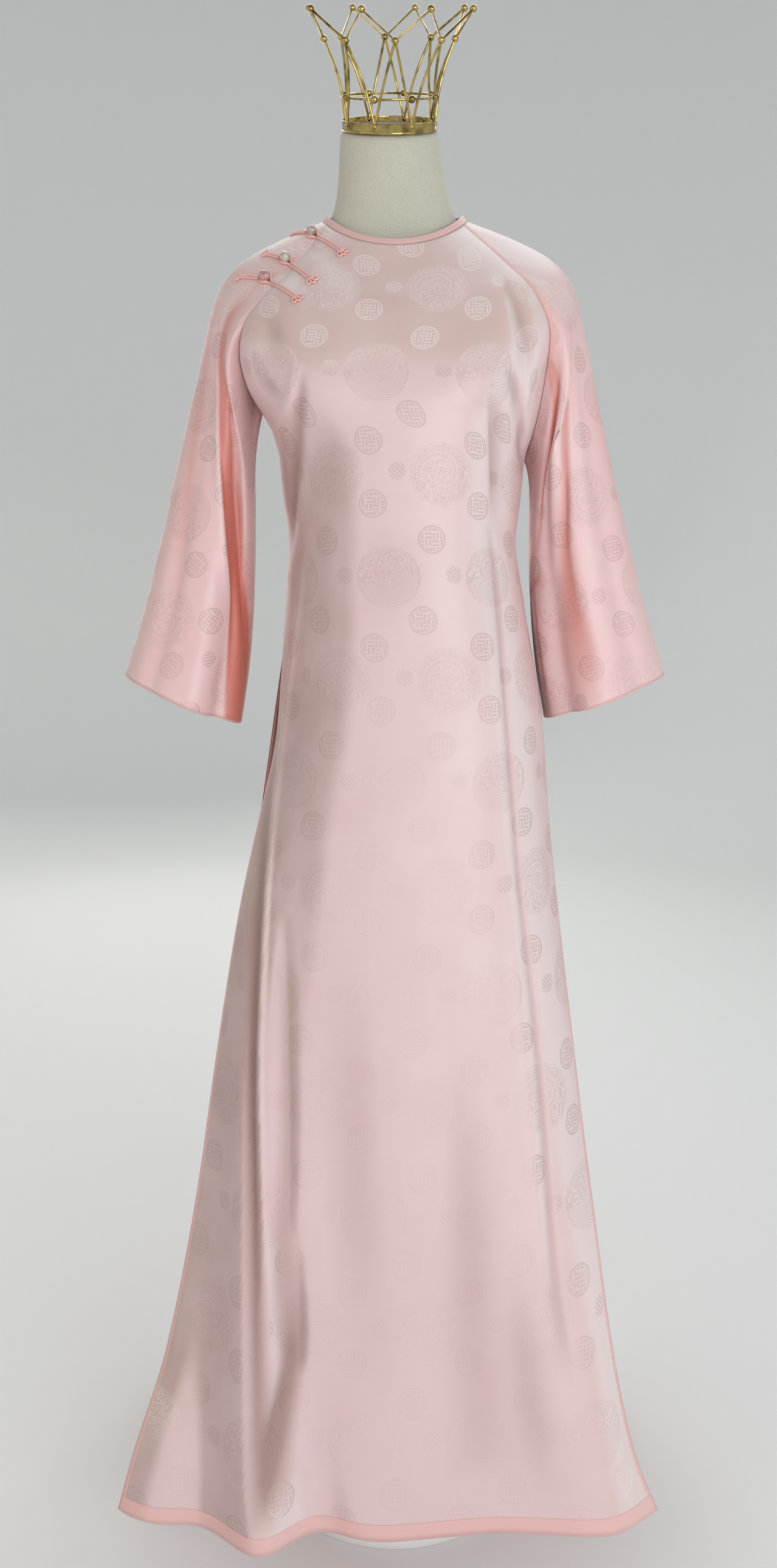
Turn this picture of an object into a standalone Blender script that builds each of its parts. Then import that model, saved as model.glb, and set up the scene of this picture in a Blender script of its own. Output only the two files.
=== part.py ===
"""A silk ao dai tunic, worn by a limbless dress form on a pole and a round base plate.

The cloth is a set of thin walls. Each panel is a grid of points: its rows run from one edge of the
panel to the other, and its stations climb from the hem to the neck. Neighbouring pieces share the
points of their seam. Metres, +Z up, the wearer faces -Y, and +X is the wearer's left.
"""

import math

import bmesh
import bpy
import numpy as np
from mathutils import Matrix, Vector
from mathutils.bvhtree import BVHTree

# ---------------------------------------------------------------- driving dimensions
CLOTH = 0.0018            # thickness of the wall that stands for the satin
TURNING = 0.0012          # thickness of a turned-up hem behind the wall
GAP = 0.0003              # between neighbouring pieces
HEM_HEIGHT = 0.070        # of the front and back hems above the floor
WAIST_HEIGHT = 1.045
UNDERARM_LEFT = (0.149, 0.004, 1.143)      # the wearer's left
UNDERARM_RIGHT = (-0.157, 0.004, 1.204)    # the wearer's right, pulled up by the closing
HEM_TURNED = 0.015        # height of the turned-up hem
SLIT_TURNED = 0.006       # width of the turning down each slit
CORNER_GAP = 0.0005       # between that turning and the hem's
CUFF_SHARE = 0.035        # of a sleeve's length that is turned in at the cuff

NECK_SIDE = 0.0777        # half width of the neck opening
NECK_FRONT = 0.073        # depth of its front from the side
NECK_BACK = 0.058
NECK_SIDE_HEIGHT = 1.424
NECK_FRONT_HEIGHT = 1.379
NECK_BACK_HEIGHT = 1.436
NECK_BAND_WIDTH = 0.009
NECK_BAND_DROP = 0.0072   # how far the band falls over its width
BAND_SIDEWAYS = 0.60      # share of the band's width that runs outward at the sides
BAND_FORWARD = 0.45       # and at the front and back
NECK_DIP = 1.4            # how sharply the opening falls toward its front
NECK_CENTRE = 0.004       # y of the opening's sides
BAND_LIFT = 0.0003        # how far the band stands above the cloth on each side
RAGLAN_FRONT = 68.0       # degrees round the neck from the front, where the raglan seams start
RAGLAN_BACK = 128.0

SKIRT_ROWS = 13           # stations from the hem to the top of the slit
WAIST_ROWS = 4            # from there to the underarm
YOKE_ROWS = 9             # from the underarm to the neck
FRONT_COLUMNS = 35
BACK_COLUMNS = 23
NECK_COLUMNS = 3          # points of a sleeve between its two raglan seams
SLEEVE_ROWS = 13
SEAM_PULL = 0.50          # share of a sleeve's length over which it takes its armhole's form
FOLD_FADE = 0.06          # height over which a fold begins
FOLD_GROWTH = 2.4         # power by which a fold deepens toward the hem

# The stations of every panel edge: 0 the hem, 1 the top of the slit, 2 the underarm, 3 the neck.
# Columns: station, wearer's right x, wearer's left x, y at the right edge, y at the left edge, height
FRONT_EDGES = (
    (0.00, -0.280, 0.264, -0.182, -0.183, 0.070),
    (0.06, -0.266, 0.242, -0.177, -0.175, 0.122),
    (0.16, -0.236, 0.221, -0.160, -0.163, 0.215),
    (0.32, -0.207, 0.203, -0.133, -0.135, 0.371),
    (0.45, -0.192, 0.192, -0.110, -0.110, 0.492),
    (0.60, -0.171, 0.178, -0.080, -0.080, 0.640),
    (0.72, -0.148, 0.169, -0.060, -0.058, 0.755),
    (0.82, -0.131, 0.165, -0.041, -0.040, 0.850),
    (0.92, -0.125, 0.149, -0.018, -0.018, 0.960),
    (1.00, -0.1205, 0.136, 0.000, 0.000, 1.045),
)
BACK_EDGES = (
    (0.00, -0.262, 0.250, 0.168, 0.168, 0.070),
    (0.16, -0.232, 0.217, 0.135, 0.135, 0.215),
    (0.32, -0.214, 0.198, 0.104, 0.104, 0.371),
    (0.60, -0.179, 0.172, 0.062, 0.060, 0.640),
    (0.82, -0.150, 0.160, 0.030, 0.030, 0.850),
    (0.92, -0.131, 0.152, 0.014, 0.012, 0.960),
    (1.00, -0.1205, 0.136, 0.000, 0.000, 1.045),
)
# The side seams from the top of the slit to the underarm. Columns: share of the way, x right, x left,
# y, height right, height left
SIDE_SEAMS = (
    (0.00, -0.1205, 0.1360, 0.000, 1.045, 1.045),
    (0.30, -0.1245, 0.1400, 0.001, 1.078, 1.072),
    (0.60, -0.1300, 0.1440, 0.002, 1.118, 1.100),
    (0.85, -0.1330, 0.1465, 0.003, 1.165, 1.124),
    (1.00, -0.1570, 0.1490, 0.004, 1.204, 1.143),
)
# The raglan seams from the underarm to the neck. Columns: share of the way, x, y and height
RAGLAN_FRONT_RIGHT = (
    (0.15, -0.1655, -0.044, 1.222),
    (0.30, -0.1710, -0.069, 1.252),
    (0.45, -0.1650, -0.078, 1.284),
    (0.60, -0.1470, -0.074, 1.311),
    (0.80, -0.1130, -0.056, 1.350),
)
RAGLAN_FRONT_LEFT = (
    (0.15, 0.1570, -0.040, 1.178),
    (0.30, 0.1655, -0.067, 1.233),
    (0.45, 0.1690, -0.077, 1.275),
    (0.60, 0.1540, -0.074, 1.317),
    (0.80, 0.1200, -0.056, 1.358),
)
RAGLAN_BACK_RIGHT = (
    (0.15, -0.1640, 0.052, 1.226),
    (0.30, -0.1650, 0.083, 1.258),
    (0.45, -0.1580, 0.096, 1.292),
    (0.60, -0.1420, 0.096, 1.325),
    (0.80, -0.1060, 0.080, 1.380),
)
RAGLAN_BACK_LEFT = (
    (0.15, 0.1570, 0.048, 1.184),
    (0.30, 0.1630, 0.080, 1.236),
    (0.45, 0.1600, 0.096, 1.283),
    (0.60, 0.1440, 0.097, 1.325),
    (0.80, 0.1070, 0.080, 1.380),
)
# The middle of each row. Columns: station, y, height, degrees turned at the edge, squareness
FRONT_MIDDLE = (
    (0.00, -0.220, 0.070, 62, 3.6),
    (0.20, -0.203, 0.252, 62, 3.4),
    (0.40, -0.186, 0.446, 64, 3.0),
    (0.60, -0.170, 0.640, 68, 2.8),
    (0.80, -0.158, 0.831, 76, 2.6),
    (0.92, -0.153, 0.960, 84, 2.4),
    (1.00, -0.151, 1.045, 90, 2.3),
    (1.50, -0.156, 1.105, 90, 2.3),
    (2.00, -0.160, 1.178, 90, 2.2),
    (2.30, -0.153, 1.232, 84, 2.2),
    (2.55, -0.129, 1.286, 78, 2.2),
    (2.80, -0.100, 1.336, 72, 2.1),
    (3.00, -0.079, 1.3745, 68, 2.0),
)
BACK_MIDDLE = (
    (0.00, 0.196, 0.070, 62, 3.4),
    (0.20, 0.180, 0.252, 62, 3.2),
    (0.40, 0.166, 0.446, 64, 3.0),
    (0.60, 0.152, 0.640, 70, 2.8),
    (0.80, 0.137, 0.831, 78, 2.6),
    (0.92, 0.118, 0.960, 84, 2.4),
    (1.00, 0.095, 1.045, 90, 2.3),
    (1.50, 0.103, 1.110, 90, 2.3),
    (2.00, 0.118, 1.182, 90, 2.2),
    (2.30, 0.127, 1.250, 86, 2.2),
    (2.55, 0.122, 1.310, 80, 2.2),
    (2.80, 0.098, 1.376, 66, 2.1),
    (3.00, 0.064, 1.4315, 52, 2.0),
)
# Folds of the front. Columns: top height, bottom height, x at the top, middle and bottom,
# half width at the top and bottom, height at the top and bottom (a trough is below zero)
FRONT_FOLDS = (
    (1.000, 0.050, -0.116, -0.146, -0.130, 0.015, 0.036, 0.0020, 0.0360),
    (0.900, 0.050, -0.132, -0.176, -0.200, 0.014, 0.030, -0.0020, -0.0090),
    (0.760, 0.050, -0.088, -0.108, -0.070, 0.016, 0.032, -0.0015, -0.0110),
    (1.060, 0.050, 0.106, 0.138, 0.188, 0.011, 0.030, -0.0030, 0.0060),
    (0.860, 0.050, 0.140, 0.170, 0.222, 0.014, 0.026, 0.0020, 0.0090),
    (0.600, 0.050, 0.062, 0.078, 0.100, 0.030, 0.040, 0.0010, -0.0050),
    (0.540, 0.050, 0.010, 0.000, -0.020, 0.040, 0.050, 0.0010, 0.0070),
    (1.200, 1.060, -0.100, -0.106, -0.108, 0.008, 0.010, -0.0022, -0.0030),
    (1.190, 1.050, -0.084, -0.090, -0.096, 0.008, 0.010, 0.0016, 0.0024),
    (1.220, 1.060, 0.108, 0.112, 0.116, 0.009, 0.010, -0.0024, -0.0026),
    (1.330, 1.220, 0.122, 0.130, 0.140, 0.012, 0.012, -0.0030, -0.0024),
    (1.330, 1.230, -0.126, -0.132, -0.140, 0.012, 0.012, -0.0024, -0.0020),
)
BACK_FOLDS = (
    (0.960, 0.050, -0.108, -0.130, -0.150, 0.014, 0.030, 0.0020, 0.0110),
    (0.820, 0.050, -0.062, -0.080, -0.086, 0.018, 0.034, -0.0020, -0.0080),
    (0.900, 0.050, 0.004, -0.006, -0.020, 0.018, 0.034, 0.0020, 0.0080),
    (0.740, 0.050, 0.062, 0.066, 0.052, 0.018, 0.034, -0.0020, -0.0070),
    (0.960, 0.050, 0.110, 0.130, 0.142, 0.014, 0.030, 0.0020, 0.0110),
    (1.150, 1.050, -0.080, -0.076, -0.070, 0.010, 0.010, -0.0020, -0.0030),
    (1.150, 1.050, 0.084, 0.080, 0.076, 0.010, 0.010, -0.0020, -0.0030),
)
# Bust: x, height, half width, half height, depth
CUPS = (
    (-0.088, 1.208, 0.046, 0.044, 0.011),
    (0.090, 1.206, 0.046, 0.044, 0.011),
)

# The sleeves. Columns: share of the way down, the outer line's x, y and height, the inner line's x, y
# and height, how far the front and the back swell from the line between them
SLEEVE_RIGHT = (
    (0.00, -0.0850, 0.014, 1.418, -0.1570, 0.004, 1.204, 0.078, 0.086),
    (0.12, -0.1320, 0.014, 1.397, -0.1600, 0.004, 1.184, 0.080, 0.086),
    (0.25, -0.1830, 0.014, 1.367, -0.1610, 0.003, 1.158, 0.074, 0.078),
    (0.36, -0.2060, 0.012, 1.334, -0.1610, 0.002, 1.130, 0.066, 0.070),
    (0.48, -0.2180, 0.010, 1.284, -0.1605, 0.000, 1.094, 0.060, 0.063),
    (0.62, -0.2340, 0.006, 1.206, -0.1600, -0.003, 1.042, 0.056, 0.057),
    (0.76, -0.2530, 0.001, 1.114, -0.1610, -0.007, 0.982, 0.056, 0.055),
    (0.89, -0.2810, -0.004, 0.991, -0.1660, -0.010, 0.908, 0.060, 0.058),
    (1.00, -0.3070, -0.008, 0.898, -0.1750, -0.012, 0.842, 0.066, 0.062),
)
SLEEVE_LEFT = (
    (0.00, 0.0850, 0.014, 1.418, 0.1490, 0.004, 1.143, 0.078, 0.086),
    (0.12, 0.1340, 0.014, 1.399, 0.1530, 0.004, 1.126, 0.080, 0.086),
    (0.25, 0.1850, 0.014, 1.371, 0.1545, 0.003, 1.104, 0.074, 0.078),
    (0.36, 0.2080, 0.012, 1.338, 0.1545, 0.002, 1.082, 0.066, 0.070),
    (0.48, 0.2190, 0.010, 1.288, 0.1540, 0.000, 1.055, 0.060, 0.063),
    (0.62, 0.2360, 0.006, 1.206, 0.1540, -0.003, 1.016, 0.056, 0.057),
    (0.76, 0.2550, 0.001, 1.112, 0.1555, -0.007, 0.968, 0.056, 0.055),
    (0.89, 0.2800, -0.004, 0.994, 0.1600, -0.010, 0.912, 0.060, 0.058),
    (1.00, 0.3070, -0.008, 0.899, 0.1700, -0.012, 0.848, 0.066, 0.062),
)
# Folds of a sleeve. Columns: where it starts and ends down the sleeve, degrees round it at its start
# and end (0 outside, 90 front, 180 inside, 270 back), half width in degrees, depth (in is below zero)
SLEEVE_FOLDS = (
    (0.30, 1.05, 122, 138, 13, -0.0110),
    (0.36, 1.05, 92, 104, 15, 0.0060),
    (0.42, 1.05, 58, 62, 13, -0.0050),
    (0.34, 1.05, 236, 226, 14, -0.0090),
    (0.46, 1.05, 292, 300, 14, 0.0050),
)

# The dress form. Columns: height, half width, front depth, back depth, squareness
FORM_RINGS = (
    (0.786, 0.104, 0.092, 0.092, 2.2),
    (0.793, 0.116, 0.105, 0.105, 2.2),
    (0.810, 0.123, 0.112, 0.114, 2.2),
    (0.850, 0.126, 0.116, 0.118, 2.2),
    (0.900, 0.122, 0.113, 0.112, 2.2),
    (0.960, 0.1155, 0.110, 0.098, 2.2),
    (1.045, 0.1110, 0.108, 0.083, 2.2),
    (1.110, 0.1170, 0.122, 0.093, 2.2),
    (1.160, 0.1210, 0.136, 0.103, 2.2),
    (1.204, 0.1380, 0.140, 0.108, 2.2),
    (1.240, 0.1560, 0.133, 0.109, 2.1),
    (1.280, 0.1760, 0.115, 0.104, 2.0),
    (1.312, 0.1850, 0.096, 0.094, 2.0),
    (1.336, 0.1790, 0.078, 0.084, 2.0),
    (1.358, 0.1560, 0.062, 0.074, 2.0),
    (1.378, 0.1180, 0.054, 0.064, 2.0),
    (1.396, 0.0820, 0.050, 0.054, 2.0),
    (1.418, 0.0650, 0.048, 0.047, 2.0),
    (1.450, 0.0600, 0.046, 0.047, 2.0),
    (1.500, 0.0570, 0.047, 0.050, 2.0),
    (1.513, 0.0560, 0.047, 0.050, 2.0),
    (1.516, 0.0530, 0.044, 0.047, 2.0),
)
FORM_SIDES = 26
NECK_LEAN = (-0.006, -0.012)     # how far the neck's top stands off the torso's axis, x and y

CAP_RADIUS = 0.0545
CAP_ABOVE = 0.0006               # of the cap's foot above the neck
CAP_HEIGHT = 0.012
CAP_TILT = 24.0                  # degrees the cap and crown lean forward
CAP_LIP = 0.002                  # thickness of the cap's raised rim
CAP_DISH = 0.006                 # depth of the cap inside its rim
CROWN_POINTS = 8
CROWN_WIRE = 0.0015              # radius of its wires
CROWN_BALL = 0.0042
# Where the crown's wires turn: radius and height above the cap's band
CROWN_FOOT = (0.0535, -0.0032)
CROWN_RING = (0.0537, 0.025)
CROWN_KNEE = (0.0567, 0.043)
CROWN_VALLEY = (0.0730, 0.085)
CROWN_PEAK = (0.0950, 0.116)
CROWN_KNEE_TURN = 0.26           # of a point's share of the circle, from the foot to the knee
CROWN_TURN = 0.10                # of a point's share, that the crown is turned on the cap

POLE_RADIUS = 0.0125
PLATE_RADIUS = 0.145
PLATE_HEIGHT = 0.014

BEAD_RADIUS = 0.0060
CORD_RADIUS = 0.0011
FROG_CORD_SIDES = 4
# The frogs. Columns: the bead's x and height, then for the knot half and for the loop half how many
# degrees it slants down to the wearer's left and how far it reaches from the bead's middle
FROGS = (
    (-0.0925, 1.3935, 28.0, 0.0355, 45.5, 0.067),
    (-0.1210, 1.3600, 31.5, 0.038, 50.0, 0.067),
    (-0.1425, 1.3370, 18.0, 0.0435, 44.5, 0.073),
)
FROG_LIFT = 0.0007               # of the cords and the bead above the cloth
FAN_RADIUS = 0.0050              # middle radius of the lobed end
FAN_LOBE = 0.0011                # how far its lobes stand past that
FAN_HALF_TURN = 155.0            # degrees of the end's cord on each side
FAN_LOBES = 3.55                 # lobes in a full turn

# ---------------------------------------------------------------- curves


def through(table, at):
    """Curve through a table's rows, read at `at` in column 0, that never swings past its rows."""
    rows = np.asarray(table, float)
    knots, values = rows[:, 0], rows[:, 1:]
    at = np.clip(np.asarray(at, float), knots[0], knots[-1])
    step = np.diff(knots)[:, None]
    slope = np.diff(values, axis=0) / step
    tangent = np.empty_like(values)
    product = slope[:-1] * slope[1:]
    total = np.where(product > 0, slope[:-1] + slope[1:], 1.0)
    tangent[1:-1] = np.where(product > 0, 2 * product / total, 0.0)
    tangent[0], tangent[-1] = slope[0], slope[-1]
    i = np.clip(np.searchsorted(knots, at, side="right") - 1, 0, len(knots) - 2)
    length = step[i]
    t = ((at - knots[i])[:, None]) / length
    return (
        (2 * t**3 - 3 * t**2 + 1) * values[i]
        + (t**3 - 2 * t**2 + t) * length * tangent[i]
        + (3 * t**2 - 2 * t**3) * values[i + 1]
        + (t**3 - t**2) * length * tangent[i + 1]
    )


def ease(value):
    """0 to 1 with flat ends."""
    value = np.clip(value, 0.0, 1.0)
    return value * value * (3 - 2 * value)


def evenly(points, count):
    """`count` points along a polyline: its ends, one a turning's width from each, the rest evenly."""
    run = np.concatenate([[0.0], np.cumsum(np.linalg.norm(np.diff(points, axis=0), axis=1))])
    want = np.linspace(SLIT_TURNED, run[-1] - SLIT_TURNED, count - 2)
    want = np.concatenate([[0.0], want, [run[-1]]])
    return np.stack([np.interp(want, run, points[:, k]) for k in range(3)], axis=1)


def neck_loop(degrees, spread=0.0):
    """Points of the neck opening, by degrees from the front; `spread` carries them down the band."""
    turn = np.radians(np.asarray(degrees, float))
    front = np.clip(np.cos(turn), 0, 1)
    back = np.clip(-np.cos(turn), 0, 1)
    drop = NECK_BAND_DROP * spread / NECK_BAND_WIDTH
    reach = spread * BAND_FORWARD
    x = (NECK_SIDE + spread * BAND_SIDEWAYS) * np.sin(turn)
    y = NECK_CENTRE - (NECK_FRONT + reach) * front + (NECK_BACK + reach) * back
    height = (
        NECK_SIDE_HEIGHT
        + (NECK_FRONT_HEIGHT - NECK_SIDE_HEIGHT) * front**NECK_DIP
        + (NECK_BACK_HEIGHT - NECK_SIDE_HEIGHT) * back**NECK_DIP
        - drop
    )
    return np.stack([x, y, height], axis=1)


def raglan(table, underarm, degrees):
    """The seam from the underarm to the neck band, as a table of share, x, y, height."""
    neck = neck_loop([degrees], NECK_BAND_WIDTH)[0]
    return ((0.0, *underarm),) + table + ((1.0, *neck),)


# ---------------------------------------------------------------- panels


def edge_points(edges, seams, stations):
    """Both edges of a panel at its stations: arrays of x, y, z at the wearer's right and left."""
    right = np.empty((len(stations), 3))
    left = np.empty((len(stations), 3))
    skirt = stations <= 1.0
    low = through(edges, stations[skirt])
    right[skirt] = low[:, [0, 2, 4]]
    left[skirt] = low[:, [1, 3, 4]]
    side = (stations > 1.0) & (stations <= 2.0)
    seam = through(SIDE_SEAMS, stations[side] - 1.0)
    right[side] = seam[:, [0, 2, 3]]
    left[side] = seam[:, [1, 2, 4]]
    yoke = stations > 2.0
    right[yoke] = through(seams[0], stations[yoke] - 2.0)
    left[yoke] = through(seams[1], stations[yoke] - 2.0)
    return right, left


def row_points(right, left, middle, columns):
    """One row: two quarter curves that meet at the middle, evenly spaced along the cloth."""
    y, height, turn, square = middle
    angle = np.radians(turn) * np.linspace(-1, 1, 161)
    power = 2.0 / square
    end_sine = math.sin(math.radians(turn)) ** power
    end_cosine = max(math.cos(math.radians(turn)), 0.0) ** power
    across = np.abs(np.sin(angle)) ** power / end_sine
    swell = (np.clip(np.cos(angle), 0, 1) ** power - end_cosine) / (1 - end_cosine)
    edge = np.where((angle < 0)[:, None], right, left)
    centre = (right[0] + left[0]) / 2
    points = np.stack(
        [
            centre + (edge[:, 0] - centre) * across,
            edge[:, 1] + (y - edge[:, 1]) * swell,
            edge[:, 2] + (height - edge[:, 2]) * swell,
        ],
        axis=1,
    )
    return evenly(points, columns)


def fold_rise(x, height, folds):
    """How far the folds lift the cloth at x and a height."""
    rise = np.zeros_like(x)
    for top, bottom, x_top, x_middle, x_bottom, wide_top, wide_bottom, rise_top, rise_bottom in folds:
        down = np.clip((top - height) / (top - bottom), 0.0, 1.0)
        line = (
            x_top * (1 - down) * (1 - 2 * down)
            + x_middle * 4 * down * (1 - down)
            + x_bottom * down * (2 * down - 1)
        )
        wide = wide_top + (wide_bottom - wide_top) * down
        tall = rise_top + (rise_bottom - rise_top) * down**FOLD_GROWTH
        fade = ease((top - height) / FOLD_FADE) * ease((height - bottom) / (FOLD_FADE / 2) + 1)
        rise += tall * fade * np.exp(-(((x - line) / wide) ** 2))
    return rise


def panel_points(edges, seams, middles, columns, folds, stations, facing):
    """A panel's grid, station by station from the hem up, from the wearer's right to the left."""
    right, left = edge_points(edges, seams, stations)
    middle = through(middles, stations)
    grid = np.stack([row_points(r, l, m, columns) for r, l, m in zip(right, left, middle)])
    share = np.linspace(-1, 1, columns)
    free = ease((1 - np.abs(share)) / 0.12) + ease((0.9 - stations) / 0.2)[:, None] * 0.35
    rise = fold_rise(grid[..., 0], grid[..., 2], folds) * np.clip(free, 0, 1)
    if facing < 0:
        for x, height, wide, tall, depth in CUPS:
            off = ((grid[..., 0] - x) / wide) ** 2 + ((grid[..., 2] - height) / tall) ** 2
            rise += depth * np.exp(-off)
    rise *= ease((3.0 - stations) / 0.25)[:, None]
    grid[..., 1] += facing * rise
    top = neck_loop(np.linspace(-RAGLAN_FRONT, RAGLAN_FRONT, 161), NECK_BAND_WIDTH)
    if facing > 0:
        top = neck_loop(np.linspace(-RAGLAN_BACK, RAGLAN_BACK - 360, 161), NECK_BAND_WIDTH)
    pull = ease((stations - 2.5) / 0.5)[:, None, None]
    grid += (evenly(top, columns) - grid[-1]) * pull
    return grid


def outward(grid, around):
    """Unit normals of a grid, by the cross product of its two directions."""
    down = np.gradient(grid, axis=0)
    if around:
        across = np.roll(grid, -1, axis=1) - np.roll(grid, 1, axis=1)
    else:
        across = np.gradient(grid, axis=1)
    normal = np.cross(across, down)
    return normal / np.linalg.norm(normal, axis=-1, keepdims=True)


# ---------------------------------------------------------------- sleeves


def sleeve_points(table, ring, rows):
    """A sleeve's rings from the raglan seam down: the seam's own points, eased into swelling ovals."""
    share = np.append(np.linspace(0.0, 1.0 - CUFF_SHARE, rows - 1), 1.0)
    read = through(table, share)
    run = np.linalg.norm(np.roll(ring, -1, axis=0) - ring, axis=1)
    turn = 2 * math.pi * np.concatenate([[0.0], np.cumsum(run)[:-1]]) / run.sum()
    outer, inner = read[:, None, 0:3], read[:, None, 3:6]
    swell = np.where(np.sin(turn) > 0, read[:, 6:7], read[:, 7:8])
    grid = (outer + inner) / 2 + (outer - inner) / 2 * np.cos(turn)[None, :, None]
    grid[..., 1] -= swell * np.sin(turn)
    for start, end, from_turn, to_turn, wide, depth in SLEEVE_FOLDS:
        down = np.clip((share - start) / (end - start), 0, 1)
        line = np.radians(from_turn + (to_turn - from_turn) * down)[:, None]
        off = (np.angle(np.exp(1j * (turn[None, :] - line)))) / math.radians(wide)
        lift = depth * (ease(down / 0.3) * (0.6 + 0.4 * down))[:, None] * np.exp(-(off**2))
        centre = grid.mean(axis=1, keepdims=True)
        away = grid - centre
        grid = grid + away / np.linalg.norm(away, axis=2, keepdims=True) * lift[..., None]
    keep = (1 - ease(share / SEAM_PULL))[:, None, None]
    grid += (ring - grid[0]) * keep
    return grid


# ---------------------------------------------------------------- meshes


def material(name, colour, roughness, metallic=0.0):
    """A Principled material; the colour is linear RGB."""
    made = bpy.data.materials.new(name)
    made.use_nodes = True
    shader = made.node_tree.nodes["Principled BSDF"]
    shader.inputs["Base Color"].default_value = (*colour, 1.0)
    shader.inputs["Roughness"].default_value = roughness
    shader.inputs["Metallic"].default_value = metallic
    made.diffuse_color = (*colour, 1.0)
    return made


def add_object(name, vertices, faces, slot, sharp_degrees=40.0):
    """One named closed body with its faces turned out and shaded smooth."""
    mesh = bpy.data.meshes.new(name)
    mesh.from_pydata([tuple(map(float, v)) for v in vertices], [], faces)
    mesh.materials.append(slot)
    work = bmesh.new()
    work.from_mesh(mesh)
    bmesh.ops.recalc_face_normals(work, faces=work.faces)
    work.to_mesh(mesh)
    work.free()
    mesh.shade_smooth()
    mesh.set_sharp_from_angle(angle=math.radians(sharp_degrees))
    made = bpy.data.objects.new(name, mesh)
    bpy.context.scene.collection.objects.link(made)
    return made


def grid_faces(rows, columns, around, start=0):
    """Triangles between the rows of a grid whose points are numbered row by row from `start`.

    Every cell is split along the same diagonal, so that a piece laid on another stays parallel to it.
    """
    faces = []
    for r in range(rows - 1):
        for c in range(columns if around else columns - 1):
            a, b = start + r * columns + c, start + r * columns + (c + 1) % columns
            faces += [(a, b, b + columns), (a, b + columns, a + columns)]
    return faces


def wall(name, outer, inner, slot, around=False):
    """A closed sheet between two grids of the same shape; `around` joins each row to itself."""
    rows, columns = outer.shape[:2]
    shift = rows * columns
    faces = grid_faces(rows, columns, around)
    faces += [tuple(reversed(face)) for face in grid_faces(rows, columns, around, shift)]
    ends = [(r, c) for r in (0, rows - 1) for c in range(columns if around else columns - 1)]
    for r, c in ends:
        a, b = r * columns + c, r * columns + (c + 1) % columns
        faces.append((a, b, b + shift, a + shift))
    if not around:
        for c in (0, columns - 1):
            for r in range(rows - 1):
                a, b = r * columns + c, (r + 1) * columns + c
                faces.append((a, b, b + shift, a + shift))
    vertices = np.concatenate([outer.reshape(-1, 3), inner.reshape(-1, 3)])
    return add_object(name, vertices, faces, slot)


def stack(rings):
    """Vertices and faces of rings joined from the first to the last, with both ends filled."""
    rows, columns = rings.shape[:2]
    faces = grid_faces(rows, columns, True)
    faces.append(tuple(range(columns)))
    faces.append(tuple((rows - 1) * columns + c for c in reversed(range(columns))))
    return rings.reshape(-1, 3), faces


def hoop(rings):
    """Vertices and faces of rings joined into a loop."""
    rows, columns = rings.shape[:2]
    faces = grid_faces(rows, columns, True)
    last = (rows - 1) * columns
    for c in range(columns):
        beside = (c + 1) % columns
        faces += [(last + c, last + beside, beside), (last + c, beside, c)]
    return rings.reshape(-1, 3), faces


def tube_rings(path, radius, sides, closed=False, up=Vector((0, 0, 1))):
    """Rings round a path, each square to it and turned by the same `up`."""
    points = [Vector(p) for p in path]
    rings = []
    for i, point in enumerate(points):
        ahead = points[(i + 1) % len(points)] if closed or i + 1 < len(points) else point
        behind = points[i - 1] if closed or i > 0 else point
        along = (ahead - behind).normalized()
        side = along.cross(up).normalized()
        top = side.cross(along)
        turns = [2 * math.pi * k / sides for k in range(sides)]
        rings.append([tuple(point + radius * (math.cos(a) * side + math.sin(a) * top)) for a in turns])
    return np.array(rings)


# ---------------------------------------------------------------- the garment


def stations_of_rows():
    """Where the rows lie: closer together near the waist and the yoke."""
    hem = HEM_TURNED / (WAIST_HEIGHT - HEM_HEIGHT)
    skirt = np.concatenate([[0.0, hem], np.linspace(0.09, 1, SKIRT_ROWS - 1)])
    waist = np.linspace(1, 2, WAIST_ROWS + 1)[1:]
    yoke = np.linspace(2, 3, YOKE_ROWS + 1)[1:]
    return np.concatenate([skirt, waist, yoke])


def set_back(grid, first, last):
    """Draws a grid's two side edges in by half a gap along its rows."""
    for edge, beside in ((0, 1), (-1, -2)):
        step = grid[first:last, beside] - grid[first:last, edge]
        grid[first:last, edge] += step / np.linalg.norm(step, axis=1, keepdims=True) * GAP * 0.6


def share_normals(*groups):
    """Where pieces meet they take the mean of their normals. Each group is a list of (grid, normals);
    a group's own mean is taken first, so that two panels weigh as much as one sleeve."""
    means = []
    for group in groups:
        mean = {}
        for grid, normal in group:
            for spot, arrow in zip(grid.reshape(-1, 3), normal.reshape(-1, 3)):
                key = tuple(np.round(spot * 1e5).astype(int))
                mean[key] = mean.get(key, np.zeros(3)) + arrow
        means.append({key: arrow / np.linalg.norm(arrow) for key, arrow in mean.items()})
    for group in groups:
        for grid, normal in group:
            flat = normal.reshape(-1, 3)
            for row, spot in enumerate(grid.reshape(-1, 3)):
                key = tuple(np.round(spot * 1e5).astype(int))
                arrow = sum(mean[key] for mean in means if key in mean)
                flat[row] = arrow / np.linalg.norm(arrow)


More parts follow.
